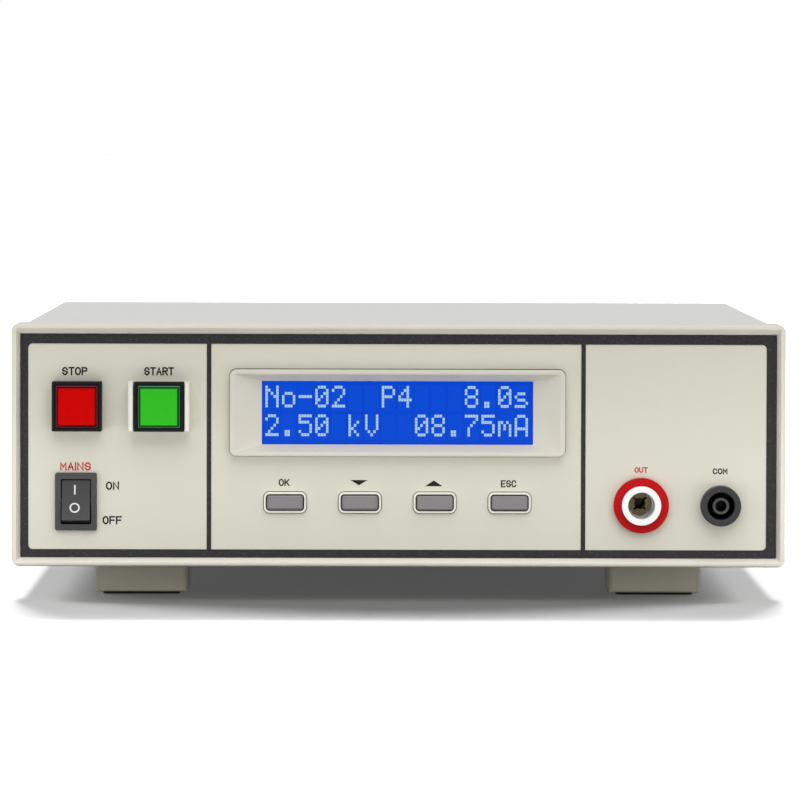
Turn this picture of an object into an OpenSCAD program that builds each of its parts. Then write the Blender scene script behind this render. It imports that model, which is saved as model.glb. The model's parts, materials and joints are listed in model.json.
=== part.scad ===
// Bench withstand-voltage tester. A shallow sheet-steel case carries a moulded front
// bezel, two lit push buttons, a rocker power switch, a two-line display with four
// keys, a high-voltage socket and a return socket. The high-voltage transformer, the
// supply, the boards and the fan sit inside. +X is the viewer's right, -Y the front
// and +Z up. The origin is on the table under the middle of the whole part.
// All sizes are millimetres. Depths are counted back from the bezel's front face.

/* [Case] */
// Width of the moulded front bezel
bezel_w = 280; // [276:1:320]
// Height of the bezel, and of the case behind it
bezel_h = 88; // [86:1:110]
// Depth from the bezel's front face to the rear edge of the cover
case_d = 300; // [296:1:360]
// Depth of the bezel, front to back
bezel_d = 17; // [12:0.5:22]
// Corner radius of the bezel
bezel_r = 3; // [2:0.5:4]
// How far the cover's side stands inside the bezel's side
cover_inset = 2.5; // [2:0.1:4]
// How far the cover's top lies below the bezel's top
cover_drop = 0.6; // [0.2:0.1:2]
// Thickness of the sheet steel
sheet = 1.2; // [0.8:0.1:1.6]
// Outer bend radius of the cover
bend_r = 2.5; // [2:0.1:4]
// Height of the chassis tray's side flanges
flange_h = 16; // [12:1:20]
// How far the rear panel lies inside the cover's rear edge
rear_recess = 2; // [1:0.5:5]
// Length of the bezel's spigot inside the cover
spigot_len = 5; // [3:0.5:8]
// Gap between pieces that are assembled by hand
fit_gap = 0.2; // [0.1:0.05:0.4]

/* [Front opening] */
// Width of the bezel's rim in front of its sloped lip
rim_flat = 1.6; // [1.2:0.1:2.4]
// Radius of the bezel's front outer edge
rim_r = 1; // [0.5:0.1:1.2]
// Bezel side to panel opening
rim_side = 3.1; // [2.8:0.1:5]
// Bezel top to panel opening
rim_top = 3.8; // [3:0.1:5]
// Bezel bottom to panel opening
rim_bottom = 3.1; // [2.8:0.1:5]
// Depth of the panel behind the rim
panel_recess = 2.5; // [1.5:0.1:4]
// Thickness of the front panel
panel_t = 2; // [1.5:0.1:3]
// Width of the ledge behind the panel
ledge_w = 3.5; // [2:0.1:4]
// Thickness of the black border film
film_t = 0.25; // [0.15:0.05:0.4]
// Black border at the left
border_left = 2.9; // [2:0.1:5]
// Black border at the right
border_right = 3.7; // [2:0.1:5]
// Black border at the top
border_top = 3.6; // [2:0.1:5]
// Black border at the bottom
border_bottom = 3; // [2:0.1:5]
// Corner radius of the light field inside the border
field_r = 1.6; // [0.5:0.1:3]
// How much wider the display field is than the two side fields together
display_field_extra = 3.8; // [0:0.1:12]
// How much wider the right field is than the left one
field_skew = 0.9; // [0:0.1:2]
// Width of a divider
divider_w = 1.6; // [1:0.1:2.5]

/* [Push buttons] */
// Side of the square switch frame
button_w = 18; // [17:0.5:19]
// Height of the switch frame in front of its seat
button_frame_h = 6; // [5:0.5:7]
// Side of the square lens
lens_w = 15.2; // [14:0.1:15.4]
// How far the lens stands in front of its frame
lens_proud = 1.6; // [1:0.1:2.4]
// Width of the sloped edge of the lens
lens_bevel = 0.7; // [0.4:0.1:2]
// Travel of a push button
button_travel = 3; // [2:0.1:3.5]
// Diameter of the threaded switch barrel
barrel_d = 16; // [15.8:0.1:16]
// Length of the barrel behind its seat
barrel_len = 14; // [12:0.5:18]
// Diameter of the lens stem
stem_d = 9; // [6:0.5:10]
// Left edge of the light field to the middle of the stop button
stop_inset = 17.8; // [16:0.1:19]
// Left divider to the middle of the start button
start_inset = 17.1; // [15:0.1:18]
// Height of both buttons above the bezel's bottom
button_z = 58; // [56:0.5:62]
// Width of a side wall of the start guard
guard_wall = 1.8; // [1.2:0.1:2.2]
// Height of the start guard in front of the panel
guard_h = 9.5; // [9:0.1:11]
// Thickness of the guard's base plate
guard_base = 1; // [0.8:0.1:1.5]

/* [Power switch] */
// Width of the switch frame
power_w = 15.1; // [15:0.1:17]
// Height of the switch frame
power_h = 20.9; // [20.5:0.1:23]
// Thickness of the switch frame in front of the panel
power_frame_t = 2; // [1.5:0.1:3]
// Depth of the switch body behind the panel
power_body_d = 15; // [13:0.5:20]
// Width of the rocker
rocker_w = 10.2; // [9:0.1:10.4]
// Radius of the rocker's ends about its pivot
rocker_r = 7.8; // [7:0.1:8]
// Tilt of the rocker each side of its middle
rocker_tilt = 12; // [8:0.5:14]
// Left edge of the light field to the middle of the power switch
power_inset = 17.3; // [16:0.1:30]
// Height of the power switch above the bezel's bottom
power_z = 23.4; // [22:0.1:26]

/* [Display] */
// Gap between the display surround and the divider on each side
surround_gap = 6.2; // [3:0.1:9]
// Height of the display surround
surround_h = 31.5; // [31:0.1:36]
// How far the surround stands in front of the panel
surround_proud = 4; // [3:0.1:6]
// Corner radius of the surround
surround_r = 2.5; // [1:0.1:4]
// Radius of the surround's front outer edge
surround_edge_r = 0.6; // [0.2:0.1:1]
// Flat rim of the surround
surround_rim = 1.5; // [1:0.1:2.5]
// Width of the display's view
view_w = 97.4; // [96:0.1:100]
// Height of the display's view
view_h = 22.2; // [22:0.1:24]
// Middle of the display field to the middle of the display and the keys
display_shift = 0.45; // [-2:0.05:2]
// Height of the display above the bezel's bottom
display_z = 55.7; // [55:0.1:58]
// Width of the display module's board
display_board_w = 122; // [118:1:124]
// Height of the display module's board
display_board_h = 44; // [42:1:46]

/* [Keys] */
// Width of a key cap
key_w = 13; // [12:0.1:14]
// Height of a key cap
key_h = 5.2; // [4.5:0.1:6]
// Corner radius of a key cap
key_r = 0.9; // [0.6:0.1:2]
// Radius of a key cap's front edge
key_edge_r = 0.5; // [0.2:0.1:0.6]
// Gap between a key cap and its collar
key_gap = 0.4; // [0.3:0.05:0.5]
// Wall of the collar round a key
collar_wall = 0.8; // [0.7:0.1:1.4]
// Height of the collar in front of the panel
collar_proud = 1.4; // [1:0.1:2]
// How far the key cap stands in front of its collar
key_proud = 0.8; // [0.8:0.1:1.4]
// Travel of a key
key_travel = 0.8; // [0.3:0.1:0.8]
// Gap round a sliding lens, rocker or slider
slide_gap = 0.3; // [0.2:0.05:0.4]
// Spacing of the keys
key_pitch = 27.1; // [24:0.1:28]
// Height of the key row above the bezel's bottom
key_row_z = 23.2; // [22:0.1:24]

/* [Sockets] */
// Right divider to the middle of the high-voltage socket
hv_inset = 20.2; // [15:0.1:21]
// Right edge of the light field to the middle of the return socket
return_inset = 16.6; // [14:0.1:18]
// Height of both sockets above the bezel's bottom
socket_z = 22.4; // [20:0.1:30]
// Diameter of the red collar
hv_collar_d = 20; // [19:0.5:24]
// Thickness of the red collar
hv_collar_t = 3; // [2:0.1:4]
// Diameter of the white insulator
hv_insulator_d = 14.2; // [13:0.1:15]
// How far the insulator stands in front of the panel
hv_proud = 5; // [4.5:0.1:7]
// Bore of the high-voltage socket
hv_bore_d = 9.7; // [9:0.1:10]
// Depth of the high-voltage bore down to its contact
hv_bore_len = 16; // [12:0.5:20]
// Length of the insulator behind the panel
hv_tail = 34; // [30:0.5:40]
// Bore of the high-voltage contact
hv_contact_bore_d = 4; // [3.5:0.1:5]
// Diameter of the return socket's collar
return_d = 14.6; // [14:0.1:16]
// How far the return collar stands in front of the panel
return_proud = 6; // [4:0.1:7]
// Diameter of the ring-shaped recess in the return socket
return_recess_d = 9.8; // [9.4:0.1:10.4]
// Outer diameter of the return contact sleeve
return_sleeve_d = 6.1; // [6:0.1:7]
// Bore of the return contact
return_bore_d = 4; // [3.8:0.1:4.2]
// Depth of the return contact's bore
return_bore_len = 18; // [14:0.5:22]

/* [Feet] */
// Side of a square foot
foot_w = 34; // [28:1:40]
// Height of a foot block
foot_h = 11; // [8:0.5:20]
// Thickness of the rubber pad under a foot
pad_t = 1; // [0.8:0.1:2]
// Side of the rubber pad
pad_w = 28; // [20:1:28]
// Side of the case to the middle of a foot
foot_side = 43.5; // [30:0.5:60]
// Front edge of the case to the middle of the front feet
foot_front = 42; // [36:1:60]
// Rear edge of the case to the middle of the rear feet
foot_rear = 36; // [24:1:60]

/* [Rear] */
// Screw hole to the edge of the fan
fan_edge = 5; // [4:0.5:7]
// Depth of the fan
fan_d = 25; // [20:1:30]
// Spacing of the fan's screws
fan_pitch = 50; // [50:0.5:52]
// Diameter of the fan's air way
fan_bore = 57; // [50:0.5:57]
// Left wall to the middle of the fan
fan_inset = 58; // [42:1:70]
// Number of blades on the fan
fan_blades = 7; // [5:1:9]
// Diameter of the fan hub
fan_hub_d = 29; // [24:1:32]
// Diameter of the fan shaft
fan_shaft_d = 3; // [2:0.5:4]
// Right wall to the middle of the mains inlet
inlet_inset = 32; // [24:1:46]
// Width of the inlet flange
inlet_w = 29; // [28:0.5:34]
// Height of the inlet flange
inlet_h = 47; // [46:0.5:52]
// Depth of the plug cavity
inlet_cavity_d = 16; // [14:0.5:18]
// Right wall to the middle of the voltage selector
selector_inset = 74; // [68:1:78]
// Travel of the selector's slider
selector_travel = 6; // [4:0.5:7]
// Right wall to the middle of the earth stud
earth_inset = 74; // [66:1:80]
// Diameter of the earth stud
earth_d = 5; // [4:0.5:6]
// Length of the earth stud outside the rear panel
earth_len = 12; // [10:0.5:16]
// Spacing of the two remote connectors
remote_pitch = 42; // [40:1:46]
// Middle of the remote connectors, across
remote_x = 4; // [0:1:8]

/* [Inside] */
// Width of the high-voltage transformer's core
hv_core_w = 76; // [70:1:84]
// Depth of the high-voltage transformer's core
hv_core_d = 50; // [44:1:60]
// Height of the high-voltage transformer's core
hv_core_h = 62; // [56:1:64]
// Outer diameter of the ring-core supply transformer
supply_d = 84; // [70:1:90]
// Height of the ring-core supply transformer
supply_h = 38; // [30:1:46]
// Width of the control board
control_w = 112; // [100:1:120]
// Depth of the control board
control_d = 104; // [90:1:110]
// Height of the board standoffs
standoff_h = 8; // [5:0.5:12]
// Thickness of the circuit boards
board_t = 1.6; // [1:0.1:2]
// Width of the amplifier's heat sink
sink_w = 84; // [70:1:90]
// Height of the amplifier's heat sink
sink_h = 50; // [40:1:56]
// Number of fins on the heat sink
sink_fins = 9; // [5:1:11]

/* [Hidden] */
$fn = 64;
// Small overlap that lets a cut pass cleanly through a face
cut = 0.5;
// Radial clearance of a pin or stem that turns or slides in its bore
run_gap = 0.05;

front_reach = guard_h - panel_recess;
rear_reach = earth_len - rear_recess;
y_front = front_reach - (front_reach + case_d + rear_reach) / 2;
base_z = pad_t + foot_h;
bezel_mid_z = base_z + bezel_h / 2;
case_w = bezel_w - 2 * cover_inset;
cover_top_z = base_z + bezel_h - cover_drop;
inner_w = case_w - 2 * sheet - 2 * fit_gap;
floor_z = base_z + sheet;
inner_top_z = cover_top_z - sheet - fit_gap;
inner_h = inner_top_z - floor_z;
inner_mid_z = (inner_top_z + floor_z) / 2;

opening_w = bezel_w - 2 * rim_side;
opening_h = bezel_h - rim_top - rim_bottom;
opening_z = base_z + rim_bottom + opening_h / 2;
panel_back = panel_recess + panel_t;
field_w = opening_w - border_left - border_right;
field_h = opening_h - border_top - border_bottom;
field_x = (border_left - border_right) / 2;
field_z = opening_z + (border_bottom - border_top) / 2;
field_left = field_x - field_w / 2;
field_right = field_x + field_w / 2;
side_field_w = (field_w - 2 * divider_w - display_field_extra) / 4;
divider_left_x = field_left + side_field_w - field_skew / 2 + divider_w / 2;
divider_right_x = field_right - side_field_w - field_skew / 2 - divider_w / 2;
display_field_w = divider_right_x - divider_left_x - divider_w;
surround_w = display_field_w - 2 * surround_gap;
display_x = (divider_left_x + divider_right_x) / 2 + display_shift;
key_row_x = display_x;
stop_x = field_left + stop_inset;
start_x = divider_left_x - divider_w / 2 - start_inset;
power_x = field_left + power_inset;
hv_x = divider_right_x + divider_w / 2 + hv_inset;
return_x = field_right - return_inset;

rear_out = case_d - rear_recess;
rear_in = rear_out - sheet;
mid_y = (bezel_d + rear_in) / 2;

button_cavity_w = lens_w + 2 * slide_gap;
button_floor = 1;
lens_body_t = button_frame_h - button_floor - button_travel - slide_gap;
stem_len = barrel_len - button_travel;
nut_t = 4;
nut_land = 1.5;
button_r = 0.4;

// Depth d behind the bezel's front face, as a place along Y
function yf(d) = y_front + d;
// Height above the bezel's bottom, as a place along Z
function up(h) = base_z + h;

// Extrudes an upright X-Z outline backwards by t from depth d
module slab(d, t) {
  translate([0, yf(d) + t, 0])
    rotate([90, 0, 0])
      linear_extrude(t)
        children();
}

// Round bar along the depth
module rod(x, z, d, len, dia) {
  translate([x, yf(d) + len, z])
    rotate([90, 0, 0])
      cylinder(h = len, d = dia);
}

// Six-sided bar along the depth, given across its flats
module hex_bar(x, z, d, len, flats) {
  translate([x, yf(d) + len, z])
    rotate([90, 0, 0])
      rotate(30)
        cylinder(h = len, d = flats / cos(30), $fn = 6);
}

// Box centred on x and z that runs back from depth d
module block(x, z, d, size) {
  translate([x - size[0] / 2, yf(d), z - size[2] / 2])
    cube(size);
}

// Flat outline with round corners, centred
module rounded(w, h, r) {
  square([w - 2 * r, h], center = true);
  square([w, h - 2 * r], center = true);
  for (sx = [-1, 1], sy = [-1, 1])
    translate([sx * (w / 2 - r), sy * (h / 2 - r)])
      circle(r = r);
}

// Four-sided taper between two upright rectangles, given as [depth, x, z, width, height]
module taper(near, far) {
  corners = [[-1, -1], [1, -1], [1, 1], [-1, 1]];
  points = [
    for (face = [near, far], c = corners)
      [face[1] + c[0] * face[3] / 2, yf(face[0]), face[2] + c[1] * face[4] / 2]
  ];
  polyhedron(points, [[0, 3, 2, 1], [4, 5, 6, 7], [0, 1, 5, 4], [1, 2, 6, 5], [2, 3, 7, 6], [3, 0, 4, 7]]);
}

// Inverted U outline of the cover, standing on z = 0
module u_outline(w, h, r) {
  translate([-w / 2, 0])
    square([w, h - r]);
  translate([r - w / 2, 0])
    square([w - 2 * r, h]);
  for (side = [-1, 1])
    translate([side * (w / 2 - r), h - r])
      circle(r = r);
}

screw_d = 3;
screw_hole_d = 3.4;
head_d = 5.6;
head_t = 1.8;
screw_len = 6;
screw_z = floor_z + flange_h / 2;
cover_len = case_d - bezel_d;
screw_depths = [bezel_d + cover_len * 0.12, bezel_d + cover_len / 2, bezel_d + cover_len * 0.88];
flange_start = bezel_d + spigot_len + fit_gap;

// Each cover screw's place: side of the case and depth
module at_cover_screws() {
  for (side = [-1, 1], depth = screw_depths)
    translate([side * case_w / 2, yf(depth), screw_z])
      rotate([0, side * 90, 0])
        children();
}

foot_x = case_w / 2 - foot_side;
foot_places = [
  for (side = [-1, 1], depth = [foot_front, case_d - foot_rear])
    [side * foot_x, yf(depth)]
];

// Folded steel tray: floor, two side flanges and a rear flange behind the rear panel
module base_chassis() {
  flange_len = rear_in - fit_gap - flange_start;
  color("gainsboro")
    difference() {
      union() {
        translate([-inner_w / 2, yf(bezel_d), base_z])
          cube([inner_w, case_d - bezel_d, sheet]);
        for (side = [-1, 1])
          translate([side * (inner_w - sheet) / 2 - sheet / 2, yf(flange_start), base_z])
            cube([sheet, flange_len, sheet + flange_h]);
        translate([-inner_w / 2, yf(rear_in - sheet), base_z])
          cube([inner_w, sheet, sheet + rear_flange_h]);
      }
      at_cover_screws()
        translate([0, 0, -screw_len - cut])
          cylinder(h = screw_len + cut, d = screw_hole_d);
      for (place = foot_places)
        translate([place[0], place[1], base_z - cut])
          cylinder(h = sheet + 2 * cut, d = screw_hole_d);
      for (x = rear_screw_xs)
        rod(x, rear_screw_z, rear_in - sheet - cut, sheet + 2 * cut, screw_hole_d);
      floor_vents();
    }
}

rear_flange_h = 8;
slot_w = 3;
slot_len = 26;
slot_pitch = 7;
vent_count = 9;

// Slot along Y, drilled down through a plate
module slot_cut(x, y, z, w, len, depth) {
  translate([x, y, z - cut])
    linear_extrude(depth + 2 * cut)
      rounded(w, len, w / 2 - 0.01);
}

// Air slots in the floor under the supply
module floor_vents() {
  for (row = [0 : vent_count - 1])
    slot_cut(slot_pitch * (row - (vent_count - 1) / 2), yf(mid_y), base_z, slot_w, slot_len, sheet);
}

side_slot_h = 22;
side_vent_count = 12;
side_vent_rear = 38;

// Painted cover: top and both sides folded from one sheet, with air slots in each side
module top_cover() {
  h = cover_top_z - base_z;
  vent_z = base_z + h * 0.56;
  vent_start = case_d - side_vent_rear - slot_pitch * (side_vent_count - 1);
  color("whitesmoke")
    difference() {
      translate([0, 0, base_z])
        slab(bezel_d, case_d - bezel_d)
          difference() {
            u_outline(case_w, h, bend_r);
            translate([0, -cut])
              u_outline(case_w - 2 * sheet, h + cut - sheet, max(bend_r - sheet, 0.3));
          }
      at_cover_screws()
        translate([0, 0, -sheet - cut])
          cylinder(h = sheet + 2 * cut, d = screw_hole_d);
      for (i = [0 : side_vent_count - 1])
        translate([0, yf(vent_start + i * slot_pitch), vent_z])
          rotate([0, 90, 0])
            translate([0, 0, -case_w / 2 - cut])
              linear_extrude(case_w + 2 * cut)
                rounded(side_slot_h, slot_w, slot_w / 2 - 0.01);
    }
}

fan_w = fan_pitch + 2 * fan_edge;
fan_x = fan_inset - inner_w / 2;
inlet_x = inner_w / 2 - inlet_inset;
selector_x = inner_w / 2 - selector_inset;
earth_x = inner_w / 2 - earth_inset;
fan_z = inner_mid_z;
inlet_z = inner_mid_z;
inlet_wall = 1.5;
inlet_flange_t = 3;
inlet_body_w = inlet_w - 2 * inlet_wall;
inlet_body_h = inlet_h - 2 * inlet_wall;
selector_rise = 14;
earth_drop = 16;
selector_z = inner_mid_z + selector_rise;
earth_z = inner_mid_z - earth_drop;
remote_z = inner_mid_z;
remote_flange = [31, 1, 12.5];
remote_body = [20, 8, 10.5];
selector_flange = [28, 1.5, 14];
selector_body_d = 8;
slider_w = 8;
slider_h = 7;
slider_t = 4;
selector_window_w = slider_w + selector_travel + 2 * slide_gap;
selector_window_h = slider_h + 2 * slide_gap;
selector_wall = 2;
selector_body_w = selector_window_w + 2 * selector_wall;
selector_body_h = selector_window_h + 2 * selector_wall;
rear_screw_z = floor_z + rear_flange_h / 2;
rear_screw_inset = 16;
rear_screw_xs = [rear_screw_inset - inner_w / 2, 0, inner_w / 2 - rear_screw_inset];

// The fan's four screw places
module at_fan_corners() {
  for (sx = [-1, 1], sz = [-1, 1])
    translate([fan_x + sx * fan_pitch / 2, fan_z + sz * fan_pitch / 2])
      children();
}

// Steel rear panel with the cut-outs of everything that is fixed to it
module rear_panel() {
  color("gainsboro")
    slab(rear_in, sheet)
      difference() {
        translate([0, inner_mid_z])
          rounded(inner_w, inner_h, bend_r);
        translate([fan_x, fan_z])
          circle(d = fan_bore);
        at_fan_corners()
          circle(d = screw_hole_d);
        translate([inlet_x, inlet_z])
          square([inlet_body_w + 2 * fit_gap, inlet_body_h + 2 * fit_gap], center = true);
        translate([selector_x, selector_z])
          square([selector_body_w + 2 * fit_gap, selector_body_h + 2 * fit_gap], center = true);
        translate([earth_x, earth_z])
          circle(d = earth_d + 2 * fit_gap);
        for (side = [-1, 1])
          translate([remote_x + side * remote_pitch / 2, remote_z])
            square([remote_body[0] + 2 * fit_gap, remote_body[2] + 2 * fit_gap], center = true);
        for (x = rear_screw_xs)
          translate([x, rear_screw_z])
            circle(d = screw_hole_d);
      }
}

// Outline with rounded lower corners, standing on y = 0
module round_based(w, h, r) {
  translate([-w / 2, r])
    square([w, h - r]);
  translate([r - w / 2, 0])
    square([w - 2 * r, h]);
  for (side = [-1, 1])
    translate([side * (w / 2 - r), r])
      circle(r = r);
}

// Box centred on x and y whose upright and lower edges are rounded, from z = 0 up
module soft_box(w, d, h, r, edge_r) {
  intersection() {
    linear_extrude(h)
      rounded(w, d, r);
    rotate([90, 0, 0])
      linear_extrude(d, center = true)
        round_based(w, h, edge_r);
    rotate([90, 0, 90])
      linear_extrude(w, center = true)
        round_based(d, h, edge_r);
  }
}

// Moulded bezel: rounded rim, sloped inner lip, panel pocket, ledge and rear spigot
module front_bezel() {
  color("antiquewhite")
    difference() {
      union() {
        translate([0, yf(0), bezel_mid_z])
          rotate([-90, 0, 0])
            soft_box(bezel_w, bezel_h, bezel_d, bezel_r, rim_r);
        slab(bezel_d, spigot_len)
          translate([0, inner_mid_z + fit_gap / 2])
            rounded(inner_w, inner_h - fit_gap, bend_r);
      }
      taper([-fit_gap, 0, bezel_mid_z, bezel_w - 2 * rim_flat, bezel_h - 2 * rim_flat],
            [panel_recess, 0, opening_z, opening_w, opening_h]);
      slab(panel_recess, panel_t)
        translate([0, opening_z])
          square([opening_w, opening_h], center = true);
      slab(panel_recess, bezel_d + spigot_len)
        translate([0, opening_z])
          square([opening_w - 2 * ledge_w, opening_h - 2 * ledge_w], center = true);
    }
}

barrel_hole_d = barrel_d + 2 * fit_gap;
power_wall = 1.2;
power_r = 0.8;
power_body_w = rocker_w + 2 * slide_gap + 2 * power_wall;
power_body_h = 2 * (rocker_r + slide_gap + power_wall);
surround_depth = panel_recess - surround_proud;
lcd_border = 3.5;
lcd_frame_w = view_w + 2 * lcd_border;
lcd_frame_h = view_h + 2 * lcd_border;
pocket_t = 0.5;
pocket_gap = 0.25;
key_hole_w = key_w + 2 * key_gap;
key_hole_h = key_h + 2 * key_gap;
key_hole_r = key_r + key_gap;
collar_w = key_hole_w + 2 * collar_wall;
collar_h = key_hole_h + 2 * collar_wall;
collar_r = key_hole_r + collar_wall;
return_barrel_d = 12;

// Middle of key number i, counted from 0, across the panel
function key_x(i) = key_row_x + key_pitch * (i - 1.5);

// Aluminium front panel with all its cut-outs, and shallow pockets for the surround and the collars
module front_panel() {
  color("beige")
    difference() {
      slab(panel_recess, panel_t)
        difference() {
          translate([0, opening_z])
            square([opening_w - 2 * fit_gap, opening_h - 2 * fit_gap], center = true);
          for (x = [stop_x, start_x])
            translate([x, up(button_z)])
              circle(d = barrel_hole_d);
          translate([power_x, up(power_z)])
            square([power_body_w + 2 * fit_gap, power_body_h + 2 * fit_gap], center = true);
          translate([display_x, up(display_z)])
            square([lcd_frame_w + 2 * fit_gap, lcd_frame_h + 2 * fit_gap], center = true);
          for (i = [0 : 3])
            translate([key_x(i), up(key_row_z)])
              rounded(key_hole_w, key_hole_h, key_hole_r);
          translate([hv_x, up(socket_z)])
            circle(d = hv_insulator_d + 2 * fit_gap);
          translate([return_x, up(socket_z)])
            circle(d = return_barrel_d + 2 * fit_gap);
        }
      slab(panel_recess - cut, cut + pocket_t) {
        translate([display_x, up(display_z)])
          rounded(surround_w + 2 * pocket_gap, surround_h + 2 * pocket_gap, surround_r + pocket_gap);
        for (i = [0 : 3])
          translate([key_x(i), up(key_row_z)])
            rounded(collar_w + 2 * pocket_gap, collar_h + 2 * pocket_gap, collar_r + pocket_gap);
      }
    }
}

// Black film: border round the panel and the two dividers
module border_film() {
  color("dimgray")
    slab(panel_recess - film_t, film_t) {
      difference() {
        translate([0, opening_z])
          square([opening_w - 2 * fit_gap, opening_h - 2 * fit_gap], center = true);
        translate([field_x, field_z])
          rounded(field_w, field_h, field_r);
      }
      for (x = [divider_left_x, divider_right_x])
        translate([x, field_z])
          square([divider_w, field_h + 2 * fit_gap], center = true);
    }
}

// Raised display surround with sloped inner sides
module lcd_surround() {
  x = display_x;
  z = up(display_z);
  color("ivory")
    difference() {
      translate([x, yf(surround_depth), z])
        rotate([-90, 0, 0])
          soft_box(surround_w, surround_h, surround_proud + pocket_t, surround_r, surround_edge_r);
      taper([surround_depth - fit_gap, x, z, surround_w - 2 * surround_rim, surround_h - 2 * surround_rim],
            [panel_recess + pocket_t + fit_gap, x, z, view_w, view_h]);
    }
}

lcd_flange_t = 0.6;
lcd_frame_wall = 1;
lcd_lip = 0.5;
lcd_glass_t = 2.2;
lcd_light_t = 3.4;
lcd_front = panel_recess + pocket_t + fit_gap;
lcd_glass_front = lcd_front + lcd_flange_t;
lcd_board_front = lcd_glass_front + lcd_glass_t + lcd_light_t;
lcd_inner_w = lcd_frame_w - 2 * lcd_frame_wall - fit_gap;
lcd_inner_h = lcd_frame_h - 2 * lcd_frame_wall - fit_gap;

// Folded steel frame that clamps the display glass to its board
module lcd_frame() {
  color("dimgray")
    translate([display_x, 0, up(display_z)]) {
      slab(lcd_front, lcd_flange_t)
        difference() {
          square([lcd_frame_w, lcd_frame_h], center = true);
          square([view_w + 2 * lcd_lip, view_h + 2 * lcd_lip], center = true);
        }
      slab(lcd_glass_front, lcd_board_front - lcd_glass_front)
        difference() {
          square([lcd_frame_w, lcd_frame_h], center = true);
          square([lcd_frame_w - 2 * lcd_frame_wall, lcd_frame_h - 2 * lcd_frame_wall], center = true);
        }
    }
}

// Blue display glass
module lcd_glass() {
  color("royalblue")
    block(display_x, up(display_z), lcd_glass_front, [lcd_inner_w, lcd_glass_t, lcd_inner_h]);
}

// Light guide behind the glass
module lcd_backlight() {
  color("white")
    block(display_x, up(display_z), lcd_glass_front + lcd_glass_t, [lcd_inner_w, lcd_light_t, lcd_inner_h]);
}

lcd_hole_inset = 3;
spacer_d = 5;

// The display board's four fixing places
module at_lcd_holes() {
  for (sx = [-1, 1], sz = [-1, 1])
    translate([display_x + sx * (display_board_w / 2 - lcd_hole_inset), 0,
               up(display_z) + sz * (display_board_h / 2 - lcd_hole_inset)])
      children();
}

// Display board
module lcd_board() {
  color("seagreen")
    difference() {
      block(display_x, up(display_z), lcd_board_front, [display_board_w, board_t, display_board_h]);
      at_lcd_holes()
        rod(0, 0, lcd_board_front - cut, board_t + 2 * cut, screw_d);
    }
}

// Drilled round spacer between the front panel and a board at the given depth
module spacer(x, z, board_depth) {
  difference() {
    rod(x, z, panel_back, board_depth - panel_back, spacer_d);
    rod(x, z, panel_back - cut, board_depth - panel_back + 2 * cut, screw_d);
  }
}

// Spacers that carry the display board and the key board behind the front panel
module panel_spacers() {
  color("silver") {
    at_lcd_holes()
      spacer(0, 0, lcd_board_front);
    for (side = [-1, 1])
      spacer(key_row_x + side * key_spacer_x, up(key_row_z), key_board_front);
  }
}

housing_w = 15;
housing_d = 18;
terminal = [2.8, 6, 0.6];
terminal_spread = 5;

// Push-switch body: square frame, round barrel, contact block and four terminals
module push_switch_body(x, seat) {
  z = up(button_z);
  color("black")
    difference() {
      union() {
        slab(seat - button_frame_h, button_frame_h)
          translate([x, z])
            rounded(button_w, button_w, button_r);
        rod(x, z, seat, barrel_len, barrel_d);
        block(x, z, seat + barrel_len, [housing_w, housing_d, housing_w]);
        for (sx = [-1, 1], sz = [-1, 1])
          block(x + sx * terminal_spread, z + sz * terminal_spread, seat + barrel_len + housing_d, terminal);
      }
      block(x, z, seat - button_frame_h - cut,
            [button_cavity_w, button_frame_h - button_floor + cut, button_cavity_w]);
      rod(x, z, seat - button_frame_h, button_frame_h + barrel_len + slide_gap, stem_d + 2 * run_gap);
    }
}

// Nut that clamps a push switch behind the panel
module push_switch_nut(x) {
  z = up(button_z);
  color("dimgray")
    difference() {
      hex_bar(x, z, panel_back, nut_t, barrel_d + 2 * nut_land);
      rod(x, z, panel_back - cut, nut_t + 2 * cut, barrel_d + 2 * run_gap);
    }
}

// Square lens with sloped edges and its round stem
module push_lens(x, seat, shade) {
  z = up(button_z);
  front = seat - button_frame_h - lens_proud;
  flat_w = lens_w - 2 * lens_bevel;
  body_front = front + lens_proud;
  color(shade) {
    taper([front, x, z, flat_w, flat_w], [body_front, x, z, lens_w, lens_w]);
    block(x, z, body_front, [lens_w, lens_body_t, lens_w]);
    rod(x, z, body_front + lens_body_t, stem_len, stem_d);
  }
}

start_seat = panel_recess - guard_base;
guard_corner_r = 1;

// Guard of the start button: base plate and two upright side walls
module start_guard() {
  z = up(button_z);
  guard_w = button_w + 2 * slide_gap + 2 * guard_wall;
  color("ivory")
    difference() {
      union() {
        block(start_x, z, start_seat, [guard_w, guard_base, button_w]);
        for (side = [-1, 1])
          translate([start_x + side * (guard_w - guard_wall) / 2, yf(panel_recess), z])
            intersection() {
              rotate([90, 0, 90])
                linear_extrude(guard_wall, center = true) {
                  translate([-guard_h, guard_corner_r - button_w / 2])
                    square([guard_h, button_w - 2 * guard_corner_r]);
                  translate([guard_corner_r - guard_h, -button_w / 2])
                    square([guard_h - guard_corner_r, button_w]);
                  for (end = [-1, 1])
                    translate([guard_corner_r - guard_h, end * (button_w / 2 - guard_corner_r)])
                      circle(r = guard_corner_r);
                }
              linear_extrude(button_w, center = true) {
                translate([-guard_wall / 2, guard_wall / 2 - guard_h])
                  square([guard_wall, guard_h - guard_wall / 2]);
                translate([0, guard_wall / 2 - guard_h])
                  circle(d = guard_wall, $fn = 32);
              }
            }
      }
      rod(start_x, z, start_seat - cut, guard_base + 2 * cut, barrel_hole_d);
    }
}

rocker_pivot = panel_recess;
rocker_tip = 20;
rocker_crown = 2;
rocker_back = 2.7;
rocker_pin_d = 2.6;
rocker_pin_len = slide_gap + 0.8;
blade = [4.8, 8, 0.8];
blade_spread = 6;

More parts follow.
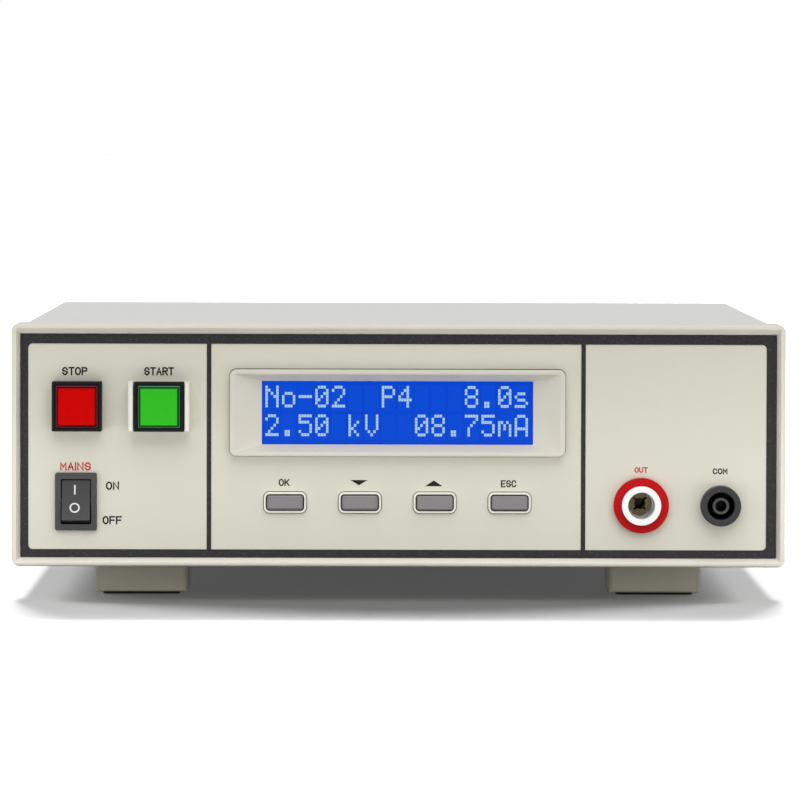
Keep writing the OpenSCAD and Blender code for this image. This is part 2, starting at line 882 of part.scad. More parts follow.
// Bar across the switch, along X, through the rocker's pivot
module pivot_bar(len, dia) {
  translate([power_x - len / 2, yf(rocker_pivot), up(power_z)])
    rotate([0, 90, 0])
      cylinder(h = len, d = dia);
}

// Rocker-switch body: front frame, snap-in box, round rocker well and terminals
module power_switch_body() {
  z = up(power_z);
  frame_front = panel_recess - power_frame_t;
  well_h = 2 * (rocker_r + slide_gap);
  color("black")
    difference() {
      union() {
        slab(frame_front, power_frame_t)
          translate([power_x, z])
            rounded(power_w, power_h, power_r);
        block(power_x, z, panel_recess, [power_body_w, power_body_d, power_body_h]);
        for (side = [-1, 1])
          block(power_x, z + side * blade_spread, panel_recess + power_body_d, blade);
      }
      block(power_x, z, frame_front - cut,
            [rocker_w + 2 * slide_gap, rocker_pivot - frame_front + cut, well_h]);
      pivot_bar(rocker_w + 2 * slide_gap, well_h);
      pivot_bar(power_w + 2 * cut, rocker_pin_d + 2 * run_gap);
    }
}

// Rocker at ON: upper end pressed in, lower end out, turning on two side pins
module power_rocker() {
  tip = [-rocker_r * sin(rocker_tip), rocker_r * cos(rocker_tip)];
  color("black")
    union() {
      translate([power_x - rocker_w / 2, yf(rocker_pivot), up(power_z)])
        rotate([-rocker_tilt, 0, 0])
          rotate([90, 0, 90])
            linear_extrude(rocker_w)
              intersection() {
                circle(r = rocker_r);
                polygon([
                  [-rocker_crown, 0], tip, [rocker_back, 1.3 * rocker_r],
                  [rocker_back, -1.3 * rocker_r], [tip[0], -tip[1]]
                ]);
              }
      pivot_bar(rocker_w + 2 * rocker_pin_len, rocker_pin_d);
    }
}

key_flange_t = 1;
key_flange_over = 1.2;
key_stem_d = 3.4;
key_stem_in = 0.6;
key_flange_front = panel_back + slide_gap;
key_switch_front = key_flange_front + key_flange_t + key_travel + slide_gap;
key_switch = [6, 4.3, 6];
key_board_front = key_switch_front + key_switch[1];
key_spacer_gap = 1;
key_spacer_x = 1.5 * key_pitch + key_w / 2 + key_flange_over + key_spacer_gap + spacer_d / 2;
key_board_edge = 4;
key_board_w = 2 * (key_spacer_x + key_board_edge);
key_board_h = 17;

// Collars that frame the four keys, seated in the panel's pockets
module key_collars() {
  color("ivory")
    slab(panel_recess - collar_proud, collar_proud + pocket_t)
      for (i = [0 : 3])
        translate([key_x(i), up(key_row_z)])
          difference() {
            rounded(collar_w, collar_h, collar_r);
            rounded(key_hole_w, key_hole_h, key_hole_r);
          }
}

// One key: cap, retaining flange behind the panel and switch stem
module key(i) {
  x = key_x(i);
  z = up(key_row_z);
  cap_front = panel_recess - collar_proud - key_proud;
  flange_back = key_flange_front + key_flange_t;
  color("gray") {
    translate([x, yf(cap_front), z])
      rotate([-90, 0, 0])
        soft_box(key_w, key_h, key_flange_front - cap_front, key_r, key_edge_r);
    slab(key_flange_front, key_flange_t)
      translate([x, z])
        rounded(key_w + 2 * key_flange_over, key_h + 2 * key_flange_over, key_r + key_flange_over);
    rod(x, z, flange_back, key_switch_front - flange_back + key_stem_in, key_stem_d);
  }
}

// Board behind the keys
module key_board() {
  color("seagreen")
    difference() {
      block(key_row_x, up(key_row_z), key_board_front, [key_board_w, board_t, key_board_h]);
      for (side = [-1, 1])
        rod(key_row_x + side * key_spacer_x, up(key_row_z), key_board_front - cut,
            board_t + 2 * cut, screw_d);
    }
}

// Four small key switches on the key board
module key_switches() {
  color("dimgray")
    for (i = [0 : 3])
      difference() {
        block(key_x(i), up(key_row_z), key_switch_front, key_switch);
        rod(key_x(i), up(key_row_z), key_switch_front - cut, cut + key_stem_in + key_travel + slide_gap,
            key_stem_d + 2 * run_gap);
      }
}

hv_mouth = panel_recess - hv_proud;
hv_shoulder_t = 2;
hv_shoulder_d = hv_bore_d - 1;
hv_contact_wall = 1.2;
hv_contact_d = hv_contact_bore_d + 2 * hv_contact_wall;
hv_slit_w = 0.8;
hv_slit_len = 9;
hv_lug_len = 6;
hv_nut_t = 5;
hv_nut_land = 3;

// Red collar round the high-voltage socket
module hv_collar() {
  color("red")
    difference() {
      rod(hv_x, up(socket_z), panel_recess - hv_collar_t, hv_collar_t, hv_collar_d);
      rod(hv_x, up(socket_z), panel_recess - hv_collar_t - cut, hv_collar_t + 2 * cut,
          hv_insulator_d + 2 * run_gap);
    }
}

// White insulator tube of the high-voltage socket
module hv_insulator() {
  len = hv_proud + hv_tail;
  color("white")
    difference() {
      rod(hv_x, up(socket_z), hv_mouth, len, hv_insulator_d);
      rod(hv_x, up(socket_z), hv_mouth - cut, cut + hv_bore_len, hv_bore_d);
      rod(hv_x, up(socket_z), hv_mouth, hv_bore_len + hv_shoulder_t, hv_shoulder_d + 2 * run_gap);
      rod(hv_x, up(socket_z), hv_mouth, len + cut, hv_contact_d + 2 * run_gap);
    }
}

// Brass contact at the bottom of the high-voltage bore, slit into four springs, with its solder tail
module hv_contact() {
  start = hv_mouth + hv_bore_len;
  len = hv_proud + hv_tail - hv_bore_len + hv_lug_len;
  color("goldenrod")
    difference() {
      union() {
        rod(hv_x, up(socket_z), start, hv_shoulder_t, hv_shoulder_d);
        rod(hv_x, up(socket_z), start, len, hv_contact_d);
      }
      rod(hv_x, up(socket_z), start - cut, cut + len - hv_lug_len, hv_contact_bore_d);
      for (turn = [0, 90])
        translate([hv_x, 0, up(socket_z)])
          rotate([0, turn + 45, 0])
            block(0, 0, start - cut, [hv_bore_d, cut + hv_slit_len, hv_slit_w]);
    }
}

// Nut that holds the insulator behind the panel
module hv_nut() {
  color("white")
    difference() {
      hex_bar(hv_x, up(socket_z), panel_back, hv_nut_t, hv_insulator_d + 2 * hv_nut_land);
      rod(hv_x, up(socket_z), panel_back - cut, hv_nut_t + 2 * cut, hv_insulator_d + 2 * run_gap);
    }
}

return_mouth = panel_recess - return_proud;
return_tail = 24;
return_floor_t = 3;
return_sink = 1.5;
return_lug_len = 8;
return_nut_t = 4;
return_nut_land = 2;

// Insulated body of the return socket: collar, barrel and ring-shaped recess
module return_body() {
  len = return_proud + return_tail;
  color("dimgray")
    difference() {
      union() {
        rod(return_x, up(socket_z), return_mouth, return_proud, return_d);
        rod(return_x, up(socket_z), return_mouth, len, return_barrel_d);
      }
      rod(return_x, up(socket_z), return_mouth - cut, cut + len - return_floor_t, return_recess_d);
      rod(return_x, up(socket_z), return_mouth, len + cut, return_sleeve_d + 2 * run_gap);
    }
}

// Spring sleeve of the return socket, with its solder tail
module return_contact() {
  start = return_mouth + return_sink;
  len = return_proud + return_tail - return_sink + return_lug_len;
  color("slategray")
    difference() {
      rod(return_x, up(socket_z), start, len, return_sleeve_d);
      rod(return_x, up(socket_z), start - cut, cut + return_bore_len, return_bore_d);
    }
}

// Nut that holds the return socket behind the panel
module return_nut() {
  color("dimgray")
    difference() {
      hex_bar(return_x, up(socket_z), panel_back, return_nut_t, return_barrel_d + 2 * return_nut_land);
      rod(return_x, up(socket_z), panel_back - cut, return_nut_t + 2 * cut, return_barrel_d + 2 * run_gap);
    }
}

foot_r = 2;
foot_edge_r = 0.8;
pad_r = 2;
foot_screw_z = pad_t + 4;
foot_well_d = head_d + 2 * fit_gap;

// Four moulded feet, each with a screw well under its pad
module feet() {
  color("tan")
    for (place = foot_places)
      translate([place[0], place[1], 0])
        difference() {
          translate([0, 0, pad_t])
            soft_box(foot_w, foot_w, foot_h, foot_r, foot_edge_r);
          translate([0, 0, pad_t - cut])
            cylinder(h = foot_screw_z - pad_t + cut, d = foot_well_d);
          translate([0, 0, pad_t])
            cylinder(h = foot_h + cut, d = screw_hole_d);
        }
}

// Rubber pads under the feet
module foot_pads() {
  color("black")
    for (place = foot_places)
      translate([place[0], place[1], 0])
        linear_extrude(pad_t)
          rounded(pad_w, pad_w, pad_r);
}

// Pan-head screws of the cover, and the screws that hold the feet from below
module cover_screws() {
  color("silver") {
    at_cover_screws() {
      cylinder(h = head_t, d = head_d);
      translate([0, 0, -screw_len])
        cylinder(h = screw_len, d = screw_d);
    }
    for (place = foot_places)
      translate([place[0], place[1], foot_screw_z]) {
        translate([0, 0, -head_t])
          cylinder(h = head_t, d = head_d);
        cylinder(h = floor_z - foot_screw_z, d = screw_d);
      }
  }
}

guard_wire = 1.6;
guard_eye_d = 7;
fan_screw_len = 9;

// Screws of the fan guard, and of the rear panel along the tray's rear flange
module rear_screws() {
  color("silver") {
    for (sx = [-1, 1], sz = [-1, 1]) {
      x = fan_x + sx * fan_pitch / 2;
      z = fan_z + sz * fan_pitch / 2;
      rod(x, z, rear_out + guard_wire, head_t, head_d);
      rod(x, z, rear_out + guard_wire - fan_screw_len, fan_screw_len, screw_d);
    }
    for (x = rear_screw_xs) {
      rod(x, rear_screw_z, rear_out, head_t, head_d);
      rod(x, rear_screw_z, rear_out - screw_len, screw_len, screw_d);
    }
  }
}

fan_front = rear_in - fan_d;
fan_flange_t = 4;
fan_r = 4;
fan_plate_t = 3;
strut_w = 3;
stator_d = 19;
stator_len = 9;
rotor_gap = 0.6;
cup_wall = 1.5;
cup_front = fan_front + fan_plate_t + rotor_gap;
fan_rear_room = 2.5;
cup_len = fan_d - fan_plate_t - rotor_gap - fan_rear_room;
shaft_end = 2;
bush_floor = 1;
blade_t = 1.2;
blade_tilt = 40;
blade_twist = 16;
blade_chord = 20;
blade_camber_r = 24;
blade_room = 2.5;
blade_root = 2.6;

// Fan housing: two corner flanges, round duct, struts, stator and bearing bush
module fan_frame() {
  color("black")
    difference() {
      union() {
        difference() {
          union() {
            for (depth = [fan_front, rear_in - fan_flange_t])
              slab(depth, fan_flange_t)
                translate([fan_x, fan_z])
                  rounded(fan_w, fan_w, fan_r);
            rod(fan_x, fan_z, fan_front, fan_d, fan_w);
          }
          rod(fan_x, fan_z, fan_front - cut, fan_d + 2 * cut, fan_bore);
        }
        rod(fan_x, fan_z, fan_front, fan_plate_t, fan_hub_d);
        for (turn = [0, 90])
          slab(fan_front, fan_plate_t)
            translate([fan_x, fan_z])
              rotate(turn)
                square([fan_bore + 1, strut_w], center = true);
        rod(fan_x, fan_z, fan_front, fan_plate_t + stator_len, stator_d);
      }
      rod(fan_x, fan_z, fan_front + bush_floor, fan_d, fan_shaft_d + 2 * run_gap);
      slab(fan_front - cut, fan_d + 2 * cut)
        at_fan_corners()
          circle(d = screw_hole_d);
    }
}

// Cambered blade section: a strip of a large ring, as long as the chord
module blade_section() {
  translate([0, -blade_camber_r])
    intersection() {
      difference() {
        circle(r = blade_camber_r + blade_t / 2);
        circle(r = blade_camber_r - blade_t / 2);
      }
      translate([-blade_chord / 2, 0])
        square([blade_chord, blade_camber_r + blade_t]);
    }
}

// Fan rotor: cup, shaft and blades that twist towards their tips
module fan_rotor() {
  rotor_d = fan_bore - 4 * rotor_gap;
  blade_start = fan_hub_d / 2 - blade_root;
  blade_len = rotor_d / 2 - blade_start;
  color("dimgray")
    union() {
      difference() {
        rod(fan_x, fan_z, cup_front, cup_len, fan_hub_d);
        rod(fan_x, fan_z, cup_front - cut, cup_len - cup_wall + cut, fan_hub_d - 2 * cup_wall);
      }
      rod(fan_x, fan_z, fan_front + shaft_end, cup_front + cup_len - fan_front - shaft_end, fan_shaft_d);
      intersection() {
        difference() {
          rod(fan_x, fan_z, cup_front + blade_room / 2, cup_len - blade_room, rotor_d);
          rod(fan_x, fan_z, cup_front, cup_len, fan_hub_d - cup_wall);
        }
        for (i = [0 : fan_blades - 1])
          translate([fan_x, yf(cup_front + cup_len / 2), fan_z])
            rotate([0, 360 * i / fan_blades, 0])
              translate([0, 0, blade_start])
                rotate(90 - blade_tilt)
                  linear_extrude(blade_len + blade_root, twist = blade_twist, slices = 4, $fn = 30)
                    blade_section();
      }
    }
}

guard_rings = [9, 17, 25];

// Wire finger guard over the fan: rings on crossed arms with a screw eye at each corner
module fan_guard() {
  arm_len = fan_pitch * sqrt(2);
  color("lightgray")
    difference() {
      union() {
        for (turn = [45, -45])
          translate([fan_x, yf(rear_out + guard_wire / 2), fan_z])
            rotate([0, turn, 0])
              translate([-arm_len / 2, 0, 0])
                rotate([0, 90, 0])
                  cylinder(h = arm_len, d = guard_wire);
        for (r = guard_rings)
          translate([fan_x, yf(rear_out + 1.2 * guard_wire), fan_z])
            rotate([90, 0, 0])
              rotate_extrude()
                translate([r, 0])
                  circle(d = guard_wire);
        slab(rear_out, guard_wire)
          at_fan_corners()
            circle(d = guard_eye_d);
      }
      slab(rear_out - cut, guard_wire + 2 * cut)
        at_fan_corners()
          circle(d = screw_hole_d);
    }
}

inlet_face = rear_out + inlet_flange_t;
cavity_w = 24.4;
cavity_h = 16.6;
cavity_chamfer = 4;
cavity_rise = 10.5;
cavity_z = inlet_z + cavity_rise;
drawer_w = 22;
drawer_h = 9;
drawer_d = 17;
drawer_drop = 14;
drawer_z = inlet_z - drawer_drop;
inlet_floor_t = 4;
inlet_r = 2;
pin_w = 2;
pin_h = 4;
pin_spread = 7;
pin_offset = 2;
pin_len = 14;
pin_tail = 8;

// Plug cavity outline: rectangle with two cut corners
module cavity_outline() {
  translate([inlet_x, cavity_z])
    polygon([
      [-cavity_w / 2, -cavity_h / 2], [cavity_w / 2, -cavity_h / 2],
      [cavity_w / 2, cavity_h / 2 - cavity_chamfer], [cavity_w / 2 - cavity_chamfer, cavity_h / 2],
      [cavity_chamfer - cavity_w / 2, cavity_h / 2], [-cavity_w / 2, cavity_h / 2 - cavity_chamfer]
    ]);
}

// Outline of the three inlet pins, widened by grow on each side
module pin_outline(grow) {
  for (i = [-1, 0, 1])
    translate([inlet_x + i * pin_spread, cavity_z + (i == 0 ? pin_offset : -pin_offset)])
      square([pin_w + 2 * grow, pin_h + 2 * grow], center = true);
}

// Mains inlet: flange, snap-in box, plug cavity and fuse drawer pocket
module mains_inlet() {
  body_back = inlet_face - inlet_cavity_d - inlet_floor_t;
  pocket_d = drawer_d + slide_gap;
  color("black")
    difference() {
      union() {
        slab(rear_out, inlet_flange_t)
          translate([inlet_x, inlet_z])
            rounded(inlet_w, inlet_h, inlet_r);
        slab(body_back, rear_out - body_back)
          translate([inlet_x, inlet_z])
            square([inlet_body_w, inlet_body_h], center = true);
      }
      slab(inlet_face - inlet_cavity_d, inlet_cavity_d + cut)
        cavity_outline();
      slab(body_back - cut, inlet_floor_t + 2 * cut)
        pin_outline(run_gap);
      slab(inlet_face - pocket_d, pocket_d + cut)
        translate([inlet_x, drawer_z])
          square([drawer_w + 2 * slide_gap, drawer_h + 2 * slide_gap], center = true);
    }
}

// Three flat pins of the inlet, with their tails
module inlet_pins() {
  color("silver")
    slab(inlet_face - inlet_cavity_d - inlet_floor_t - pin_tail, pin_len + inlet_floor_t + pin_tail)
      pin_outline(0);
}

drawer_lip = 1.5;

// Fuse drawer with a finger lip on its front
module fuse_drawer() {
  color("dimgray")
    difference() {
      union() {
        block(inlet_x, drawer_z, inlet_face - drawer_d, [drawer_w, drawer_d, drawer_h]);
        block(inlet_x, drawer_z + drawer_h / 2 - drawer_lip, inlet_face,
              [drawer_w / 2, drawer_lip, drawer_lip]);
      }
      block(inlet_x, drawer_z + drawer_lip, inlet_face - drawer_d + drawer_lip,
            [drawer_w - 2 * drawer_lip, drawer_d - 3 * drawer_lip, drawer_h]);
    }
}

// Voltage selector: flange, box and the window its slider runs in
module selector_body() {
  color("black")
    difference() {
      union() {
        block(selector_x, selector_z, rear_out, selector_flange);
        block(selector_x, selector_z, rear_out - selector_body_d,
              [selector_body_w, selector_body_d, selector_body_h]);
      }
      block(selector_x, selector_z, rear_out + selector_flange[1] - slider_t - slide_gap,
            [selector_window_w, slider_t + slide_gap + cut, selector_window_h]);
    }
}

// Slider of the voltage selector with a screwdriver slot
module selector_slider() {
  x = selector_x - selector_travel / 2;
  slot = [1.4, 1.2, slider_h + 2 * cut];
  color("red")
    difference() {
      block(x, selector_z, rear_out + selector_flange[1] - slider_t, [slider_w, slider_t, slider_h]);
      block(x, selector_z, rear_out + selector_flange[1] - slot[1], [slot[0], slot[1] + cut, slot[2]]);
    }
}

earth_nut_t = 4;
earth_flats = 8;
earth_washer_d = 11;
earth_washer_t = 1;
earth_inside = 9;

// Earth stud with its nuts and washers
module earth_stud() {
  color("goldenrod") {
    rod(earth_x, earth_z, rear_in - earth_inside, earth_inside + sheet + earth_len, earth_d);
    rod(earth_x, earth_z, rear_out, earth_washer_t, earth_washer_d);
    hex_bar(earth_x, earth_z, rear_out + earth_washer_t, earth_nut_t, earth_flats);
    rod(earth_x, earth_z, rear_in - earth_washer_t, earth_washer_t, earth_washer_d);
    hex_bar(earth_x, earth_z, rear_in - earth_washer_t - earth_nut_t, earth_nut_t, earth_flats);
  }
}

remote_shell = [16.9, 15.2, 8.3];
remote_shell_len = 5.5;
remote_post_flats = 5;
remote_post_len = 5;
remote_post_x = 12.5;

// Two nine-way remote control sockets with their screw posts
module remote_connectors() {
  color("silver")
    for (side = [-1, 1]) {
      x = remote_x + side * remote_pitch / 2;
      block(x, remote_z, rear_out, remote_flange);
      block(x, remote_z, rear_out - remote_body[1], remote_body);
      slab(rear_out + remote_flange[1], remote_shell_len)
        translate([x, remote_z])
          polygon([
            [-remote_shell[0] / 2, remote_shell[2] / 2], [-remote_shell[1] / 2, -remote_shell[2] / 2],
            [remote_shell[1] / 2, -remote_shell[2] / 2], [remote_shell[0] / 2, remote_shell[2] / 2]
          ]);
      for (end = [-1, 1])
        hex_bar(x + end * remote_post_x, remote_z, rear_out, remote_flange[1] + remote_post_len,
                remote_post_flats);
    }
}

hv_core_front = 72;
wall_room = 18;
hv_core_x = inner_w / 2 - wall_room - hv_core_w / 2;
hv_leg = 12.6;
hv_window_w = hv_core_w / 2 - 2 * hv_leg;
hv_window_h = hv_core_h - 2 * hv_leg;
hv_overhang = 12;
coil_r = 6;
strap_t = 1.5;
strap_foot = 10;
strap_d = 24;

// Laminated core of the high-voltage transformer: three legs and two windows
module hv_core() {
  color("dimgray")
    slab(hv_core_front, hv_core_d)
      translate([hv_core_x, floor_z + hv_core_h / 2])
        difference() {
          square([hv_core_w, hv_core_h], center = true);
          for (side = [-1, 1])
            translate([side * (hv_leg + hv_window_w / 2), 0])
              square([hv_window_w, hv_window_h], center = true);
        }
}

// Cast winding round the middle leg
module hv_coil() {
  mid_d = hv_core_front + hv_core_d / 2;
  coil_w = 2 * (hv_leg + hv_window_w - fit_gap);
  coil_d = hv_core_d + 2 * hv_overhang;
  color("saddlebrown")
    translate([hv_core_x, yf(mid_d), floor_z + hv_leg + fit_gap])
      linear_extrude(hv_window_h - 2 * fit_gap)
        difference() {
          rounded(coil_w, coil_d, coil_r);
          square([2 * (hv_leg + fit_gap), hv_core_d + 2 * fit_gap], center = true);
        }
}

// Steel strap that holds the transformer on the floor
module hv_bracket() {
  half_w = hv_core_w / 2 + strap_t;
  color("silver")
    slab(hv_core_front + (hv_core_d - strap_d) / 2, strap_d)
      translate([hv_core_x, floor_z])
        difference() {
          union() {
            translate([-half_w, 0])
              square([2 * half_w, hv_core_h + strap_t]);
            translate([-half_w - strap_foot, 0])
              square([2 * (half_w + strap_foot), strap_t]);
          }
          translate([-hv_core_w / 2, -cut])
            square([hv_core_w, hv_core_h + cut]);
        }
}

supply_depth = 205;
supply_room = 14;
supply_x = inner_w / 2 - supply_room - supply_d / 2;
supply_hole_d = 26;
supply_r = 8;
clamp_d = 46;
clamp_t = 2.5;
bolt_d = 6;
bolt_flats = 10;
bolt_nut_t = 5;

// Ring-core supply transformer
module supply_coil() {
  color("khaki")
    translate([supply_x, yf(supply_depth), floor_z])
      rotate_extrude()
        translate([(supply_d + supply_hole_d) / 4, supply_h / 2])
          rounded((supply_d - supply_hole_d) / 2, supply_h, supply_r);
}

// Clamp plate, bolt and nut of the supply transformer
module supply_clamp() {
  color("silver")
    translate([supply_x, yf(supply_depth), floor_z]) {
      cylinder(h = supply_h + clamp_t + bolt_nut_t, d = bolt_d);
      translate([0, 0, supply_h])
        cylinder(h = clamp_t, d = clamp_d);
      translate([0, 0, supply_h + clamp_t])
        cylinder(h = bolt_nut_t - 1, d = bolt_flats / cos(30), $fn = 6);
    }
}

board_room = 10;
board_inset = 5;
standoff_d = 6;
control_front = 52;
control_x = board_room + control_w / 2 - inner_w / 2;
sink_d = 68;
sink_base = 6;
sink_fin_t = 1.8;
sink_back = fan_front - board_room;
sink_front = sink_back - sink_d;
sink_right = fan_x + sink_w / 2;
transistor = [5, 16, 21];
transistor_count = 3;
transistor_rise = 6;
amplifier_w = 34;
board_past_sink = 3;
amplifier_d = sink_d + 2 * board_past_sink;
amplifier_x = sink_right + transistor[0] + board_past_sink + amplifier_w / 2;
amplifier_front = sink_front - board_past_sink;
board_z = floor_z + standoff_h;
board_top = board_z + board_t;

// Standoff places of a board, given by its middle, front depth, width and depth
module at_board_corners(x, front, w, d) {
  for (sx = [-1, 1], sy = [0, 1])
    translate([x + sx * (w / 2 - board_inset), yf(front + board_inset + sy * (d - 2 * board_inset)), 0])
      children();
}

// Board with four fixing holes, resting on its standoffs
module floor_board(x, front, w, d) {
  difference() {
    translate([x - w / 2, yf(front), board_z])
      cube([w, d, board_t]);
    at_board_corners(x, front, w, d)
      translate([0, 0, board_z - cut])
        cylinder(h = board_t + 2 * cut, d = screw_d);
  }
}

// Control board
module control_board() {
  color("darkgreen")
    floor_board(control_x, control_front, control_w, control_d);
}

// Amplifier board beside the heat sink
module amplifier_board() {
  color("darkgreen")
    floor_board(amplifier_x, amplifier_front, amplifier_w, amplifier_d);
}

// Standoffs under the two boards
module board_standoffs() {
  color("goldenrod")
    for (board = [
      [control_x, control_front, control_w, control_d],
      [amplifier_x, amplifier_front, amplifier_w, amplifier_d]
    ])
      at_board_corners(board[0], board[1], board[2], board[3])
        translate([0, 0, floor_z])
          difference() {
            cylinder(h = standoff_h, d = standoff_d);
            translate([0, 0, cut])
              cylinder(h = standoff_h, d = screw_d);
          }
}

relay = [20, 28, 16];
relay_pitch = 26;
processor = [20, 20, 2];
header = [60, 6, 9];
tank_d = 16;
tank_h = 26;
tank_pitch = 20;
tank_offset = 6;
relay_rear = 12;
processor_front = 36;
header_front = 10;

// Large parts on the boards: relays, processor, display header and smoothing capacitors
module control_parts() {
  back = control_front + control_d;
  color("black") {
    for (i = [0 : 2])
      translate([control_x + (i - 1) * relay_pitch - relay[0] / 2,
                 yf(back - relay[1] - relay_rear), board_top])
        cube(relay);
    translate([control_x - processor[0] / 2, yf(control_front + processor_front), board_top])
      cube(processor);
    translate([control_x - header[0] / 2, yf(control_front + header_front), board_top])
      cube(header);
    for (i = [0 : 2])
      translate([amplifier_x + tank_offset,
                 yf(amplifier_front + amplifier_d / 2 + (i - 1) * tank_pitch), board_top])
        cylinder(h = tank_h, d = tank_d);
  }
}

// Finned heat sink in the fan's air stream
module heat_sink() {
  fin_step = (sink_h - sink_fin_t) / (sink_fins - 1);
  color("silver")
    slab(sink_front, sink_d)
      translate([fan_x - sink_w / 2, floor_z]) {
        translate([sink_w - sink_base, 0])
          square([sink_base, sink_h]);
        for (i = [0 : sink_fins - 1])
          translate([0, i * fin_step])
            square([sink_w, sink_fin_t]);
      }
}

// Power transistors clamped to the heat sink
module power_transistors() {
  step = sink_d / transistor_count;
  color("black")
    for (i = [0 : transistor_count - 1])
      translate([sink_right, yf(sink_front + step * (i + 0.5)) - transistor[1] / 2,
                 board_top + transistor_rise])
        cube(transistor);
}

base_chassis();
top_cover();
rear_panel();
front_bezel();
front_panel();
border_film();
lcd_surround();
lcd_frame();
lcd_glass();
lcd_backlight();
lcd_board();
panel_spacers();
push_switch_body(stop_x, panel_recess);  // stop_switch_body
push_switch_nut(stop_x);  // stop_switch_nut
push_lens(stop_x, panel_recess, "red");  // stop_lens
start_guard();
push_switch_body(start_x, start_seat);  // start_switch_body
push_switch_nut(start_x);  // start_switch_nut
push_lens(start_x, start_seat, "limegreen");  // start_lens
power_switch_body();
power_rocker();
key_collars();
key(0);  // key_1
key(1);  // key_2
key(2);  // key_3
key(3);  // key_4
key_board();
key_switches();
hv_collar();
hv_insulator();
hv_contact();
hv_nut();
return_body();
return_contact();
return_nut();
feet();
foot_pads();
cover_screws();
rear_screws();
fan_frame();
fan_rotor();
fan_guard();
mains_inlet();
inlet_pins();
fuse_drawer();
selector_body();
selector_slider();
earth_stud();
remote_connectors();
hv_core();
hv_coil();
hv_bracket();
supply_coil();
supply_clamp();
control_board();
control_parts();
board_standoffs();
amplifier_board();
heat_sink();
power_transistors();
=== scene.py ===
import json
import math

import bmesh
import bpy
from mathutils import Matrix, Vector

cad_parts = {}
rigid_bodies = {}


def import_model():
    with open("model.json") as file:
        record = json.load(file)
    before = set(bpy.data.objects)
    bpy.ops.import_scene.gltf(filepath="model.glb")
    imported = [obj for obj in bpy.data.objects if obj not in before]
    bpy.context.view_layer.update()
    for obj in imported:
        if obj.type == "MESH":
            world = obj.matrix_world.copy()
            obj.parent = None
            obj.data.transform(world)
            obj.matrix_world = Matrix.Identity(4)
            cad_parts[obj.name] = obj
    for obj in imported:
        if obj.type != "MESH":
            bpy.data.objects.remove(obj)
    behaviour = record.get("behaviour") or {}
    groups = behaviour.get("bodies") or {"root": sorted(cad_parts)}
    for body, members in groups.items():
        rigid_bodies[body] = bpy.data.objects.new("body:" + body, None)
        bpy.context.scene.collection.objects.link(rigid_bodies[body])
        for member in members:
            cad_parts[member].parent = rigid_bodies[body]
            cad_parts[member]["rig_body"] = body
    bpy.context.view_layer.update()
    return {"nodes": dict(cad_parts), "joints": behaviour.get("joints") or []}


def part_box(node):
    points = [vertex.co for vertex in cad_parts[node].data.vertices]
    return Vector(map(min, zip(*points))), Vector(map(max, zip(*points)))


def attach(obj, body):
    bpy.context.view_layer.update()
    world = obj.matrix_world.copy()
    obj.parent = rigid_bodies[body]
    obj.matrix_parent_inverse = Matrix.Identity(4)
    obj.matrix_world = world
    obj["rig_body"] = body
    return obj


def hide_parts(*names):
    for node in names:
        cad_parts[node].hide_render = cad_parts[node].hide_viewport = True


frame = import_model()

MM = 0.001
stage_scene = bpy.context.scene

# The studio: a long lens a little above the front panel and left of its middle, on a
# white floor that runs out of sight. None of it belongs to the tester.
front_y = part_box("front_bezel")[0].y
camera_distance = 2.169
camera_x = -0.011
camera_z = 0.168
camera_pitch = math.radians(2.521)
camera_yaw = math.radians(0.297)
camera_roll = math.radians(0.14)
lens_mm = 270.27
sensor_mm = 36
sight_end = 200


def add(name, data):
    """A new object at the origin of the scene."""
    made = bpy.data.objects.new(name, data)
    stage_scene.collection.objects.link(made)
    return made


camera_data = bpy.data.cameras.new("camera")
camera_data.lens = lens_mm
camera_data.sensor_width = sensor_mm
camera_data.clip_end = sight_end
camera = add("camera", camera_data)
camera.location = (camera_x, front_y - camera_distance, camera_z)
camera.rotation_euler = (math.pi / 2 - camera_pitch, -camera_roll, -camera_yaw)
stage_scene.camera = camera
stage_scene.view_settings.view_transform = "Standard"


class Wire:
    """One output socket of a node. Sums written on it add Math nodes to the same tree."""

    def __init__(self, tree, socket=None):
        self.tree = tree
        self.socket = socket

    def node(self, kind, settings=None, inputs=None, output=0):
        """Any other node: its settings, its inputs and the output that is wanted."""
        made = self.tree.nodes.new(kind)
        for name, value in (settings or {}).items():
            setattr(made, name, value)
        for name, value in (inputs or {}).items():
            if isinstance(value, (Wire, list)):
                for wire in value if isinstance(value, list) else [value]:
                    self.tree.links.new(wire.socket, made.inputs[name])
            else:
                made.inputs[name].default_value = value
        return Wire(self.tree, made.outputs[output] if made.outputs else None)

    def also(self, output):
        """Another output of the same node."""
        return Wire(self.tree, self.socket.node.outputs[output])

    def maths(self, operation, other=0.0, swapped=False):
        inputs = {0: other, 1: self} if swapped else {0: self, 1: other}
        return self.node("ShaderNodeMath", {"operation": operation}, inputs)

    def __add__(self, other):
        return self.maths("ADD", other)

    def __sub__(self, other):
        return self.maths("SUBTRACT", other)

    def __mul__(self, other):
        return self.maths("MULTIPLY", other)

    def __gt__(self, other):
        return self.maths("GREATER_THAN", other)

    def __lt__(self, other):
        return self.maths("LESS_THAN", other)

    def __abs__(self):
        return self.maths("ABSOLUTE")

    def __rsub__(self, other):
        return self.maths("SUBTRACT", other, swapped=True)

    __radd__ = __add__
    __rmul__ = __mul__

    def between(self, low, high):
        """This value, 0 to 1, as a number or a colour between two others."""
        if isinstance(low, (int, float)) and isinstance(high, (int, float)):
            return self * (high - low) + low
        return self.node("ShaderNodeMix", {"data_type": "RGBA"}, {0: self, 6: low, 7: high}, output=2)


def grey(level):
    return (level, level, level, 1)


